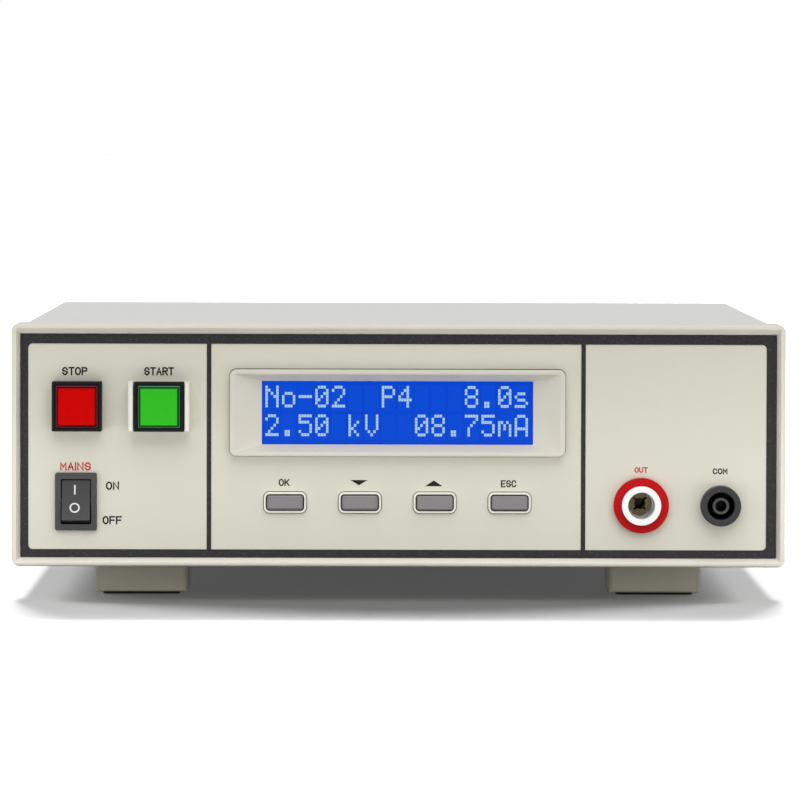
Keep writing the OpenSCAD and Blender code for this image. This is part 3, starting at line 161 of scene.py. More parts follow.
def seen(start):
    """1 where the camera, a mirror or glass looks, 0 where light only bounces."""
    rays = start.node("ShaderNodeLightPath", output="Is Camera Ray")
    return (rays + rays.also("Is Glossy Ray") + rays.also("Is Transmission Ray")) > 0.5


sky_fill = 0.4
world = bpy.data.worlds.new("studio")
stage_scene.world = world
world.use_nodes = True
world.node_tree.nodes.clear()
sky = Wire(world.node_tree)
sky_light = seen(sky).between(sky_fill, 1)
backdrop = sky.node("ShaderNodeBackground", inputs={"Color": grey(1), "Strength": sky_light})
sky.node("ShaderNodeOutputWorld", inputs={"Surface": backdrop})


def begin(name):
    """An empty material, a wire to build on and the place on the piece in metres."""
    made = bpy.data.materials.new(name)
    made.use_nodes = True
    made.node_tree.nodes.clear()
    start = Wire(made.node_tree)
    return made, start, start.node("ShaderNodeTexCoord", output="Object")


def close(start, colour, rough, height=None, depth=0.0, fixed=None):
    """Ends a material in one Principled shader, with an optional relief of the given depth."""
    inputs = {"Base Color": colour, "Roughness": rough}
    if height:
        inputs["Normal"] = start.node("ShaderNodeBump", inputs={"Height": height, "Distance": depth})
    inputs.update(fixed or {})
    lit = start.node("ShaderNodeBsdfPrincipled", inputs=inputs)
    start.node("ShaderNodeOutputMaterial", inputs={"Surface": lit})


def noise(start, place, size, detail=2.0):
    """Cloudy value from 0 to 1 whose patches are about the given size in metres."""
    return start.node("ShaderNodeTexNoise", inputs={"Vector": place, "Scale": 1 / size, "Detail": detail})


# The floor's lamps outshine the sky, so its shadow is deep. A mirror and the bounced light
# meet a darker paint, so the floor throws no more on the tester than a plain white one.
floor_half = 45
shadow_level = 0.072
floor_paint, start, place = begin("floor_paint")
patches = noise(start, place, 0.4)
pale = patches.between(grey(0.26), grey(0.27))
bounced = patches.between(grey(0.13), grey(0.135))
rays = start.node("ShaderNodeLightPath", output="Is Camera Ray")
looked_at = (rays + rays.also("Is Transmission Ray")) > 0.5
shade = seen(start).between(grey(0), grey(shadow_level))
matt = {"Emission Color": shade, "Emission Strength": 1.0, "Specular IOR Level": 0.0}
close(start, looked_at.between(bounced, pale), 0.9, fixed=matt)
floor_mesh = bpy.data.meshes.new("floor")
corners = [(x * floor_half, y * floor_half, 0) for x, y in ((-1, -1), (1, -1), (1, 1), (-1, 1))]
floor_mesh.from_pydata(corners, [], [(0, 1, 2, 3)])
floor_mesh.materials.append(floor_paint)
floor = add("floor", floor_mesh)


def lamp(name, kind, strength, sizes, tilt, turn, place=(0, 0, 1), floor_share="EXCLUDE"):
    """A soft lamp for the floor or for all the rest. Untilted, it shines straight down."""
    data = bpy.data.lights.new(name, kind)
    data.energy = strength
    for label, value in sizes.items():
        setattr(data, label, value)
    made = add(name, data)
    made.location = place
    made.rotation_euler = (math.radians(tilt), 0, math.radians(turn))
    made.visible_camera = False
    share = bpy.data.collections.new(name + "_share")
    share.objects.link(floor)
    share.collection_objects[0].light_linking.link_state = floor_share
    made.light_linking.receiver_collection = share


def sun_size(degrees):
    return {"angle": math.radians(degrees)}


card_size = {"shape": "RECTANGLE", "size": 0.6, "size_y": 0.12}
card_place = (0, front_y - 0.05, 0.004)
for side, hand in (("left", 1), ("right", -1)):
    lamp("table_lamp_" + side, "SUN", 8.5, sun_size(11), -46, 9 * hand, floor_share="INCLUDE")
    lamp("side_lamp_" + side, "SUN", 10.6, sun_size(30), -66, 57 * hand, floor_share="INCLUDE")
lamp("key_lamp", "SUN", 1.35, sun_size(60), 34, 8)
lamp("low_card", "AREA", 0.145, card_size, 85, 0, card_place)

# The chassis tray and the rear panel: sheet steel, folded, punched and zinc plated. The
# plating shows faint grey flowers and rolling marks that run from front to back.
def streaked(start, place, stretch):
    """Fine noise in lines along the axis that is stretched least."""
    drawn = start.node("ShaderNodeVectorMath", {"operation": "MULTIPLY"}, {0: place, 1: stretch})
    return start.node("ShaderNodeTexNoise", inputs={"Vector": drawn, "Scale": 1.0, "Detail": 3.0})


def shaded(colour, share):
    """The given share of a colour's light."""
    return (*(share * part for part in colour[:3]), 1)


def zinc(name, colour):
    made, start, place = begin(name)
    cells = {"Vector": place, "Scale": flower_density}
    flowers = start.node("ShaderNodeTexVoronoi", inputs=cells, output="Color")
    tone = start.node("ShaderNodeSeparateColor", inputs={0: flowers})
    streaks = streaked(start, place, rolling)
    mixed = tone * 0.35 + streaks * 0.65
    plate = mixed.between(shaded(colour, 0.86), colour)
    close(start, plate, mixed.between(0.4, 0.5), streaks, 0.01 * MM, {"Metallic": 0.85})
    return made


def dress(material, *nodes):
    """Puts a finish on CAD pieces whose shape stays as it is."""
    for node in nodes:
        mesh = frame["nodes"][node].data
        mesh.materials.clear()
        mesh.materials.append(material)


def bake(piece):
    """Gives a piece the plain mesh that its modifiers make."""
    settled = bpy.context.evaluated_depsgraph_get()
    mesh = bpy.data.meshes.new_from_object(piece.evaluated_get(settled))
    piece.modifiers.clear()
    piece.data = mesh


def even_shade(piece, sharp):
    """Shades a piece smoothly, but keeps its large faces flat and its sharp edges crisp."""
    piece.data.shade_smooth()
    piece.data.set_sharp_from_angle(angle=math.radians(sharp))
    flat = piece.modifiers.new("flat", "WEIGHTED_NORMAL")
    flat.keep_sharp = True
    bake(piece)


def enrol(piece, slot, body, *nodes):
    """Attaches a finished piece to its body and hides the CAD nodes that it stands in for; the slot is
    not used.
    """
    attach(piece, body)
    if nodes:
        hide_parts(*nodes)


def softened(node, radius, material, slot, segments=2, sharp=40):
    """A copy of a CAD piece with broken edges and smooth rounds, which stands in for its node."""
    source = frame["nodes"][node]
    form = bmesh.new()
    form.from_mesh(source.data)
    bmesh.ops.remove_doubles(form, verts=form.verts, dist=weld)
    bmesh.ops.dissolve_limit(form, angle_limit=level_angle, verts=form.verts, edges=form.edges)
    bmesh.ops.recalc_face_normals(form, faces=form.faces)
    form.verts.index_update()
    corners = [v.co.copy() for v in form.verts]
    faces = [[v.index for v in f.verts] for f in form.faces]
    form.free()
    mesh = bpy.data.meshes.new(node + "_shape")
    mesh.from_pydata(corners, [], faces)
    piece = add(node + "_shape", mesh)
    if radius:
        edge = piece.modifiers.new("edge", "BEVEL")
        edge.width = radius
        edge.segments = segments
        edge.limit_method = "ANGLE"
        edge.angle_limit = math.radians(sharp)
        bake(piece)
    even_shade(piece, sharp)
    piece.data.materials.append(material)
    enrol(piece, slot, source["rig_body"], node)


flower_density = 420.0
rolling = (900.0, 12.0, 900.0)
weld = 0.001 * MM
level_angle = math.radians(0.5)
tray_zinc = zinc("tray_zinc", (0.62, 0.63, 0.62, 1))
dress(tray_zinc, "base_chassis", "hv_bracket", "supply_clamp", "panel_spacers")
rear_zinc = zinc("rear_zinc", (0.7, 0.7, 0.68, 1))
softened("rear_panel", 0.2 * MM, rear_zinc, "zinc_steel")

# The cover: one sheet of steel folded over the top and both sides, with air slots, in
# a warm light-grey powder coat whose surface has a fine orange peel.
def srgb(red, green, blue):
    """A screen colour, 0 to 255, as the linear colour that a socket takes."""
    shares = (value / 255 for value in (red, green, blue))
    return (*(s / 12.92 if s <= 0.04045 else ((s + 0.055) / 1.055) ** 2.4 for s in shares), 1)


cover_colour = srgb(231, 231, 227)
peel_density = 900.0
cover_paint, start, place = begin("cover_paint")
patches = noise(start, place, 50 * MM, 3.0)
cells = {"Vector": place, "Scale": peel_density}
peel = start.node("ShaderNodeTexVoronoi", {"feature": "SMOOTH_F1"}, cells)
powder = patches.between(shaded(cover_colour, 0.93), cover_colour)
close(start, powder, patches.between(0.5, 0.6), peel, 0.06 * MM, {"Specular IOR Level": 0.2})
softened("top_cover", 0.15 * MM, cover_paint, "cover_paint", sharp=30)

# The front bezel: one cream ABS moulding with a rounded rim and a lip that slopes in to
# the panel. The tool was spark eroded, so the plastic has a fine even grain.
def moulded(name, colour, rough, grain=0.4 * MM, depth=0.02 * MM, shade=0.05, fixed=None):
    made, start, place = begin(name)
    patches = noise(start, place, 30 * MM, 3.0)
    pits = noise(start, place, grain, 3.0)
    mixed = patches * 0.7 + pits * 0.3
    tone = mixed.between(shaded(colour, 1 - shade), colour)
    close(start, tone, mixed.between(rough - 0.06, rough + 0.06), pits, depth, fixed)
    return made


bezel_cream = moulded("bezel_cream", srgb(230, 226, 213), 0.46, fixed={"Specular IOR Level": 0.3})
softened("front_bezel", 0.25 * MM, bezel_cream, "cream_moulding", sharp=30)

# The front panel: a sheet of aluminium, sprayed a satin stone colour and screen printed
# with the words beside its controls in black and red ink.
panel_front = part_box("front_panel")[0].y
pocket_depth = 0.1 * MM
ink_y = panel_front - 0.03 * MM
panel_colour = srgb(217, 215, 199)
panel_paint, start, place = begin("panel_paint")
patches = noise(start, place, 20 * MM)
spray = noise(start, place, 0.6 * MM)
mixed = patches * 0.6 + spray * 0.4
stone = mixed.between(shaded(panel_colour, 0.95), panel_colour)
depth = start.node("ShaderNodeSeparateXYZ", inputs={0: place}, output="Y")
# Behind the front face the colour turns near black: on the pocket floors round the display frame and key
# collars, and on the back. This is painted shade in the gaps round those mouldings.
painted = (depth > panel_front + pocket_depth).between(stone, grey(0.03))
close(start, painted, spray.between(0.42, 0.56), spray, 0.015 * MM)
dress(panel_paint, "front_panel")


def ink(name, colour):
    made, start, place = begin(name)
    cover = noise(start, place, 0.5 * MM)
    thin = (*(min(1, 1.4 * part + 0.004) for part in colour[:3]), 1)
    dry = {"Specular IOR Level": 0.15}
    close(start, cover.between(colour, thin), cover.between(0.6, 0.75), fixed=dry)
    return made


# Each letter is a few pen strokes, and each pair of digits a place: across 0 to 6, up 0 to 8.
PEN_PATHS = {
    "A": ("00 38 60", "13 53"), "C": ("62 40 20 02 06 28 48 66",), "E": ("60 00 08 68", "04 54"),
    "F": ("00 08 68", "04 54"), "I": ("00 08",), "K": ("00 08", "68 03", "25 60"),
    "M": ("00 08 33 68 60",), "N": ("00 08 60 68",), "O": ("04 06 28 48 66 62 40 20 02 04",),
    "P": ("00 08 48 67 65 44 04",), "R": ("00 08 48 67 65 44 04", "34 60"),
    "S": ("02 20 40 62 63 44 24 05 06 28 48 66",), "T": ("08 68", "38 30"),
    "U": ("08 02 20 40 62 68",),
}
letter_rise = 8
letter_gap = 2.8
sharpest_mitre = 0.5


def ribbon(form, points, pen):
    """Adds one pen stroke to a mesh as a flat strip of even width with mitred bends."""
    rims = []
    for step, point in enumerate(points):
        into = point - points[step - 1] if step else points[1] - point
        out = points[step + 1] - point if step + 1 < len(points) else into
        run = (into.normalized() + out.normalized()).normalized()
        reach = pen / 2 / max(sharpest_mitre, run.dot(out.normalized()))
        past = -pen / 2 if step == 0 else pen / 2 if step + 1 == len(points) else 0
        middle = point + run * past
        side = Vector((-run.y, run.x)) * reach
        pair = (middle + side, middle - side)
        rims.append([form.verts.new((rim.x * MM, ink_y, rim.y * MM)) for rim in pair])
    for (left, right), (next_left, next_right) in zip(rims, rims[1:]):
        form.faces.new((left, right, next_right, next_left))


def lettering(form, word, x, z, width, height, pen):
    """Adds a printed word to a mesh, its middle, width, height and pen in millimetres."""
    starts, edge = [], 0
    for letter in word:
        starts.append(edge)
        edge += letter_gap + max(int(spot[0]) for path in PEN_PATHS[letter] for spot in path.split())
    wide, tall = (width - pen) / (edge - letter_gap), (height - pen) / letter_rise
    left, low = x - (width - pen) / 2, z - (height - pen) / 2
    for letter, begun in zip(word, starts):
        for path in PEN_PATHS[letter]:
            spots = [(int(spot[0]), int(spot[1])) for spot in path.split()]
            stroke = [Vector((left + (begun + across) * wide, low + up * tall)) for across, up in spots]
            ribbon(form, stroke, pen)


def turn_faces(faces, back=False):
    """Turns flat faces to the front of the tester, or to its back."""
    for face in faces:
        face.normal_update()
        if (face.normal.y > 0) != back:
            face.normal_flip()


def arrow(form, x, z, width, height):
    """Adds a printed triangle that points up, or down where its height is negative."""
    low, high = z - height / 2, z + height / 2
    points = [(x - width / 2, low), (x + width / 2, low), (x, high)]
    turn_faces([form.faces.new([form.verts.new((px * MM, ink_y, pz * MM)) for px, pz in points])])


def keep(form, name, material, slot, body="case", nodes=(), sharp=0):
    """Turns a finished bmesh into a piece that rides on a body and may stand in for nodes."""
    mesh = bpy.data.meshes.new(name)
    form.to_mesh(mesh)
    form.free()
    mesh.materials.append(material)
    piece = add(name, mesh)
    if sharp:
        even_shade(piece, sharp)
    enrol(piece, slot, body, *nodes)


bold, fine, small, smallest = 0.56, 0.46, 0.44, 0.42
black_words = bmesh.new()
for word, x, z, width, height, pen in (
        ("STOP", -117.2, 82.6, 9.2, 3.0, bold), ("START", -86.7, 82.6, 10.8, 3.0, bold),
        ("ON", -103.5, 41.1, 4.8, 3.0, bold), ("OFF", -103.6, 28.6, 7.0, 3.0, bold),
        ("OK", -41.4, 42.4, 3.9, 2.6, fine), ("ESC", 39.9, 42.1, 5.6, 2.6, fine),
        ("COM", 116.5, 46.8, 5.4, 2.15, small)):
    lettering(black_words, word, x, z, width, height, pen)
arrow(black_words, -14.3, 42.4, 6.2, -1.9)
arrow(black_words, 12.8, 42.2, 6.4, 2.1)
keep(black_words, "panel_words_black", ink("black_ink", srgb(26, 25, 24)), "black_film")
red_words = bmesh.new()
lettering(red_words, "MAINS", -116.9, 48.1, 11.2, 3.0, bold)
lettering(red_words, "OUT", 87.9, 47.2, 4.8, 2.05, smallest)
keep(red_words, "panel_words_red", ink("red_ink", srgb(176, 52, 48)), "red_lens")

# The border film: a thin polyester print in charcoal with tiny pale specks, glued round
# the edge of the panel, with two strips that divide the panel into three fields.
speck_density = 3400.0
speck_share = 0.1
film_print, start, place = begin("film_print")
grains = {"Vector": place, "Scale": speck_density}
cells = start.node("ShaderNodeTexVoronoi", inputs=grains, output="Color")
chance = start.node("ShaderNodeSeparateColor", inputs={0: cells})
speck = (chance > 1 - speck_share) * chance.also("Green")
cloud = noise(start, place, 4 * MM)
charcoal = cloud.between(srgb(34, 32, 34), srgb(42, 40, 43))
specks = speck.between(charcoal, srgb(74, 73, 75))
satin = {"Specular IOR Level": 0.25}
close(start, specks, cloud.between(0.5, 0.62), chance, 0.006 * MM, satin)
dress(film_print, "border_film")

# The display: a cream frame moulding with sloped mitred sides stands on the panel. Behind
# it are a steel clamp, blue display glass lit from behind, a light guide and a board.
low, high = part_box("lcd_surround")
middle, half = (low + high) / 2, (high - low) / 2
corner_r, edge_r, corner_steps, edge_steps = 2.5 * MM, 0.6 * MM, 8, 5
rim_wide, rim_tall, rim_r = 1.93 * MM, 1.63 * MM, 0.8 * MM
rim_breaks = ((-0.15 * MM, 0), (0.1 * MM, 0.08 * MM))
window_wide, window_tall, window_r, window_wall = 49.12 * MM, 11.5 * MM, 0.35 * MM, 0.2 * MM


def frame_loop(form, wide, tall, r, y):
    """A ring of vertices round the display: a rectangle, given by half, with round corners."""
    ring = []
    for quarter, (side, rise) in enumerate(((1, 1), (-1, 1), (-1, -1), (1, -1))):
        for step in range(corner_steps + 1):
            turn = (quarter + step / corner_steps) * math.pi / 2
            x = middle.x + side * (wide - r) + r * math.cos(turn)
            z = middle.z + rise * (tall - r) + r * math.sin(turn)
            ring.append(form.verts.new((x, y, z)))
    return ring


loops = [(half.x, half.z, corner_r, high.y)]
for step in range(edge_steps + 1):
    turn = step / edge_steps * math.pi / 2
    inset = edge_r * (1 - math.cos(turn))
    edge_y = low.y + edge_r * (1 - math.sin(turn))
    loops.append((half.x - inset, half.z - inset, corner_r - inset, edge_y))
for inset, deeper in rim_breaks:
    loops.append((half.x - rim_wide - inset, half.z - rim_tall - inset, rim_r, low.y + deeper))
for back in (window_wall, 0):
    loops.append((window_wide, window_tall, window_r, high.y - back))
surround = bmesh.new()
rings = [frame_loop(surround, *loop) for loop in loops]
for near, far in zip(rings, rings[1:] + rings[:1]):
    for spot in range(len(near)):
        surround.faces.new((near[spot], near[spot - 1], far[spot - 1], far[spot]))
bmesh.ops.recalc_face_normals(surround, faces=surround.faces)
surround_cream = moulded("surround_cream", srgb(217, 213, 200), 0.4, grain=0.3 * MM,
                         fixed={"Specular IOR Level": 0.3})
keep(surround, "lcd_surround_shape", surround_cream, "cream_moulding", nodes=("lcd_surround",), sharp=35)
lcd_black = moulded("lcd_black", (0.02, 0.02, 0.022, 1), 0.45)
dress(lcd_black, "lcd_frame")


def glowing(name, dim, bright, patch, rough):
    """Display glass that is lit from behind, cloudy between two colours."""
    made, start, place = begin(name)
    glow = noise(start, place, patch).between(dim, bright)
    lit = {"Emission Color": glow, "Emission Strength": 0.95, "Specular IOR Level": 0.05}
    close(start, unlit_blue, rough, fixed=lit)
    return made


unlit_blue = (0.0, 0.004, 0.03, 1)
dress(glowing("lcd_glow", srgb(0, 60, 196), srgb(2, 76, 218), 30 * MM, 0.3), "lcd_glass")
light_guide, start, place = begin("light_guide")
cloud = noise(start, place, 4 * MM)
milky = cloud.between((0.7, 0.75, 0.85, 1), (0.9, 0.93, 0.98, 1))
close(start, milky, cloud.between(0.2, 0.35), cloud, 0.02 * MM)
dress(light_guide, "lcd_backlight")


def repeated(name, places, sizes, material, build, facing=None):
    """Runs a Geometry Nodes tree once over the given places and returns the plain mesh."""
    tree = bpy.data.node_groups.new(name, "GeometryNodeTree")
    tree.interface.new_socket("Geometry", in_out="OUTPUT", socket_type="NodeSocketGeometry")
    tree.interface.new_socket("Geometry", in_out="INPUT", socket_type="NodeSocketGeometry")
    named = {}
    for label in sizes:
        named[label] = tree.interface.new_socket(label, in_out="INPUT", socket_type="NodeSocketFloat")
    entry = tree.nodes.new("NodeGroupInput")
    start = Wire(tree)
    wires = {label: Wire(tree, entry.outputs[label]) for label in sizes}
    shape = build(start, Wire(tree, entry.outputs["Geometry"]), wires)
    whole = start.node("GeometryNodeRealizeInstances", inputs={0: shape})
    painted = start.node("GeometryNodeSetMaterial", inputs={"Geometry": whole, "Material": material})
    start.node("NodeGroupOutput", inputs={0: painted})
    seeds = bpy.data.meshes.new(name)
    seeds.from_pydata(places, [], [])
    if facing:
        towards = seeds.attributes.new("facing", "FLOAT_VECTOR", "POINT")
        towards.data.foreach_set("vector", [part for axis in facing for part in axis])
    holder = add(name, seeds)
    run = holder.modifiers.new(name, "NODES")
    run.node_group = tree
    for label, value in sizes.items():
        run[named[label].identifier] = value
    bake(holder)
    mesh = holder.data
    bpy.data.objects.remove(holder)
    return mesh


def settle(mesh, name, slot, nodes=(), sharp=0):
    """Makes a plain mesh a piece of the case."""
    if sharp:
        mesh.shade_smooth()
        mesh.set_sharp_from_angle(angle=math.radians(sharp))
    enrol(add(name, mesh), slot, "case", *nodes)


def on_places(start, points, shape):
    """One copy of a shape on every place."""
    return start.node("GeometryNodeInstanceOnPoints", inputs={"Points": points, "Instance": shape})


def tiles(start, points, wires):
    """A thin upright tile on every place."""
    edges = {0: wires["Width"], 1: wires["Thickness"], 2: wires["Height"]}
    size = start.node("ShaderNodeCombineXYZ", inputs=edges)
    return on_places(start, points, start.node("GeometryNodeMeshCube", inputs={"Size": size}))


# Each character is seven rows of five dots, and the bits of a number are the dots of a row.
GLYPHS = {
    "N": (17, 25, 21, 19, 17, 17, 17), "o": (0, 0, 14, 17, 17, 17, 14),
    "-": (0, 0, 0, 31, 0, 0, 0), "0": (14, 17, 19, 21, 25, 17, 14),
    "2": (14, 17, 1, 2, 4, 8, 31), "P": (30, 17, 17, 30, 16, 16, 16),
    "4": (2, 6, 10, 18, 31, 2, 2), "8": (14, 17, 17, 14, 17, 17, 14),
    ".": (0, 0, 0, 0, 0, 12, 12), "s": (0, 0, 14, 16, 14, 1, 30),
    "5": (31, 16, 30, 1, 1, 17, 14), "k": (16, 16, 18, 20, 24, 20, 18),
    "V": (17, 17, 17, 17, 17, 10, 4), "7": (31, 1, 2, 4, 8, 8, 8),
    "m": (0, 0, 26, 21, 21, 17, 17), "A": (14, 17, 17, 17, 31, 17, 17),
    " ": (0, 0, 0, 0, 0, 0, 0),
}
dots_wide, dots_tall = 5, 8
display_lines = ("No-02  P4   8.0s", "2.50 kV  08.75mA")
glass_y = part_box("lcd_glass")[0].y
cell_y, dot_y = glass_y - 0.01 * MM, glass_y - 0.03 * MM
step_x, step_z = 0.98 * MM, 1.14 * MM
character_pitch = 6.02 * MM
text_left = -48.3 * MM
line_tops = (77.5 * MM, 67.1 * MM)
dots, cells = [], []
for line, top in zip(display_lines, line_tops):
    for column, letter in enumerate(line):
        left = text_left + column * character_pitch
        cells.append((left + dots_wide / 2 * step_x, cell_y, top - dots_tall / 2 * step_z))
        for row, bits in enumerate(GLYPHS[letter]):
            for bit in range(dots_wide):
                if bits >> (dots_wide - 1 - bit) & 1:
                    dots.append((left + (bit + 0.5) * step_x, dot_y, top - (row + 0.5) * step_z))
pale_blue, deep_blue = srgb(178, 212, 240), srgb(3, 75, 218)
dot_light = glowing("dot_light", shaded(pale_blue, 0.9), pale_blue, 2 * MM, 0.4)
cell_light = glowing("cell_light", shaded(deep_blue, 0.9), deep_blue, 2 * MM, 0.4)
dot_sizes = {"Width": 0.86 * MM, "Thickness": 0.02 * MM, "Height": 1.02 * MM}
cell_sizes = {"Width": dots_wide * step_x, "Thickness": 0.01 * MM, "Height": dots_tall * step_z}
for name, places, sizes, light in (("display_dots", dots, dot_sizes, dot_light),
                                   ("display_cells", cells, cell_sizes, cell_light)):
    settle(repeated(name, places, sizes, light, tiles), name, "display_light")

# The stop and start buttons: square black switch frames with a clear cap over a coloured plate. The
# plate's faint glow is painted light for the translucent plastic, and the pale line round the cap is a
# painted highlight. A cream guard with two round-nosed walls keeps the start button from being pressed by
# chance.
plate_half, plate_blur = 6.6 * MM, 0.2 * MM
highlight_edge, highlight_blur = 7.3 * MM, 0.15 * MM


def lens_plastic(name, node, plate, wall, line):
    """Coloured plate under a clear cap: plate, the cap's deep wall, then a pale line at its outer edge
    that is a painted highlight. The plate also glows faintly, which is painted light for the translucent
    plastic.
    """
    low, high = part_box(node)
    made, start, place = begin(name)
    x = start.node("ShaderNodeSeparateXYZ", inputs={0: place})
    across = abs(x - (low.x + high.x) / 2)
    along = abs(x.also("Z") - (low.z + high.z) / 2)
    far = across.maths("MAXIMUM", along)
    steps = {0: far, 1: plate_half - plate_blur, 2: plate_half + plate_blur}
    edge = start.node("ShaderNodeMapRange", inputs=steps)
    # A pale line just inside the cap's outer edge: a painted highlight.
    pale = start.node("ShaderNodeMapRange", inputs={0: far, 1: highlight_edge - highlight_blur, 2: highlight_edge})
    cloud = noise(start, place, 3 * MM)
    colour = pale.between(edge.between(cloud.between(shaded(plate, 0.9), plate), wall), line)
    # The plate's faint glow is painted light, standing in for light through the translucent plastic.
    glow = edge.between(plate, grey(0))
    lit = {"Emission Color": glow, "Emission Strength": 0.1, "Specular IOR Level": 0.04}
    close(start, colour, cloud.between(0.25, 0.35), fixed=lit)
    return made


switch_black = moulded("switch_black", (0.009, 0.008, 0.008, 1), 0.42, grain=0.3 * MM,
                       fixed={"Specular IOR Level": 0.12})
# For each button: the plate, the cap's deep wall, and the pale edge line, which is a painted highlight.
red = (srgb(198, 0, 0), srgb(66, 0, 6), srgb(124, 56, 70))
green = (srgb(50, 184, 36), srgb(2, 70, 22), srgb(92, 148, 116))
for node in ("stop_switch_body", "start_switch_body"):
    softened(node, 0.2 * MM, switch_black, "black_plastic", segments=3)
for button, colour, tones in (("stop", "red", red), ("start", "green", green)):
    plate = lens_plastic(colour + "_plate", button + "_lens", *tones)
    softened(button + "_lens", 0.3 * MM, plate, colour + "_lens", segments=3, sharp=15)
guard_cream = moulded("guard_cream", srgb(240, 236, 226), 0.35, grain=0.3 * MM)
softened("start_guard", 0, guard_cream, "cream_moulding", sharp=50)
nut_black = moulded("nut_black", grey(0.03), 0.5)
dress(nut_black, "stop_switch_nut", "start_switch_nut")

# The power switch: a black snap-in frame round a satin rocker that tips on two side pins.
# The rocker carries the white I and O of every mains switch, filled into the plastic.
frame_charcoal = moulded("frame_charcoal", (0.038, 0.038, 0.039, 1), 0.45, grain=0.5 * MM,
                         depth=0.06 * MM, shade=0.45)
rocker_satin = moulded("rocker_satin", (0.014, 0.014, 0.015, 1), 0.42, grain=0.6 * MM,
                       depth=0.05 * MM, shade=0.45)
softened("power_switch_body", 0.5 * MM, frame_charcoal, "black_plastic", segments=3)
softened("power_rocker", 0.35 * MM, rocker_satin, "rocker_black", segments=3)
pivot = Vector(next(j["pos_m"] for j in frame["joints"] if j["name"] == "power_rock"))
rocker_tilt = math.radians(12)
rocker_crown, rocker_slope = 2.0 * MM, 0.668 / 7.33
mark_lift, mark_shift = 0.03 * MM, -0.4 * MM


def on_rocker(across, along):
    """A place on the rocker's dished face, given from its pivot before the rocker is tipped."""
    y = -rocker_crown - rocker_slope * abs(along) - mark_lift
    turned_y = y * math.cos(rocker_tilt) + along * math.sin(rocker_tilt)
    turned_z = along * math.cos(rocker_tilt) - y * math.sin(rocker_tilt)
    return (pivot.x + mark_shift + across, pivot.y + turned_y, pivot.z + turned_z)


marks = bmesh.new()
bar_half, bar_low, bar_high = 0.28 * MM, 2.2 * MM, 5.6 * MM
bar = [(-bar_half, bar_low), (bar_half, bar_low), (bar_half, bar_high), (-bar_half, bar_high)]
marks.faces.new([marks.verts.new(on_rocker(*corner)) for corner in bar])
ring_middle, ring_out, ring_in, ring_steps = -2.7 * MM, 1.85 * MM, 1.32 * MM, 40
rims = []
for step in range(ring_steps):
    turn = 2 * math.pi * step / ring_steps
    rims.append([marks.verts.new(on_rocker(r * math.cos(turn), ring_middle + r * math.sin(turn)))
                 for r in (ring_out, ring_in)])
for (outer, inner), (next_outer, next_inner) in zip(rims, rims[1:] + rims[:1]):
    marks.faces.new((outer, next_outer, next_inner, inner))
turn_faces(marks.faces)
keep(marks, "rocker_marks", ink("white_fill", srgb(205, 205, 202)), "white_insulator", "rocker")

# The four keys: grey caps with soft edges, each in a cream collar. Each cap ends in a stem
# on a small switch on the key board behind the panel.
key_grey = moulded("key_grey", srgb(128, 125, 127), 0.45, grain=0.3 * MM)
for node in ("key_1", "key_2", "key_3", "key_4"):
    softened(node, 0.5 * MM, key_grey, "grey_key", segments=4)
collar_cream = moulded("collar_cream", srgb(240, 237, 226), 0.42, grain=0.3 * MM)
softened("key_collars", 0.25 * MM, collar_cream, "cream_moulding", segments=3)
dress(nut_black, "key_switches")

# The high-voltage socket: a red collar round a thick white nylon tube, with a turned
# brass contact deep inside and a nylon nut behind the panel.
collar_red = moulded("collar_red", srgb(190, 12, 14), 0.5, depth=0.04 * MM, shade=0.16,
                     fixed={"Specular IOR Level": 0.1})
softened("hv_collar", 0.25 * MM, collar_red, "red_collar", segments=3)
nylon_white = moulded("nylon_white", (0.92, 0.92, 0.9, 1), 0.35, grain=0.6 * MM,
                      depth=0.01 * MM, shade=0.03)
softened("hv_insulator", 0.4 * MM, nylon_white, "white_insulator", segments=3)
dress(nylon_white, "hv_nut")


def turned(name, colour, rough, metal=1.0):
    """Turned or drawn metal: a fine tool grain breaks up the gloss."""
    made, start, place = begin(name)
    grain = noise(start, place, 0.4 * MM, 3.0)
    cloud = noise(start, place, 6 * MM)
    tone = cloud.between(shaded(colour, 0.7), colour)
    gloss = grain.between(rough - 0.08, rough + 0.1)
    close(start, tone, gloss, grain, 0.01 * MM, {"Metallic": metal})
    return made


brass = turned("brass", (0.55, 0.42, 0.19, 1), 0.32)
brass_dull = turned("brass_dull", (0.2, 0.16, 0.09, 1), 0.5)
softened("hv_contact", 0.15 * MM, brass_dull, "brass")

# The return socket: a dark grey safety socket whose contact sleeve stands in a ring-shaped
# recess, so a shrouded plug closes over it.
socket_grey = moulded("socket_grey", srgb(44, 43, 44), 0.4, grain=0.6 * MM, depth=0.08 * MM,
                      shade=0.25, fixed={"Specular IOR Level": 0.3})
softened("return_body", 0.45 * MM, socket_grey, "socket_grey", segments=4)
sleeve_dark = turned("sleeve_dark", (0.06, 0.062, 0.062, 1), 0.5, metal=0.6)
softened("return_contact", 0.25 * MM, sleeve_dark, "nickel")
dress(nut_black, "return_nut")

# The feet: four cream mouldings with rounded edges, screwed up into the tray, each on a
# square pad of black rubber.
foot_cream = moulded("foot_cream", srgb(214, 208, 188), 0.5, grain=0.5 * MM, depth=0.03 * MM)
softened("feet", 0, foot_cream, "foot_plastic", sharp=35)
pad_rubber = moulded("pad_rubber", grey(0.018), 0.8, depth=0.06 * MM, shade=0.2)
softened("foot_pads", 0.15 * MM, pad_rubber, "rubber")

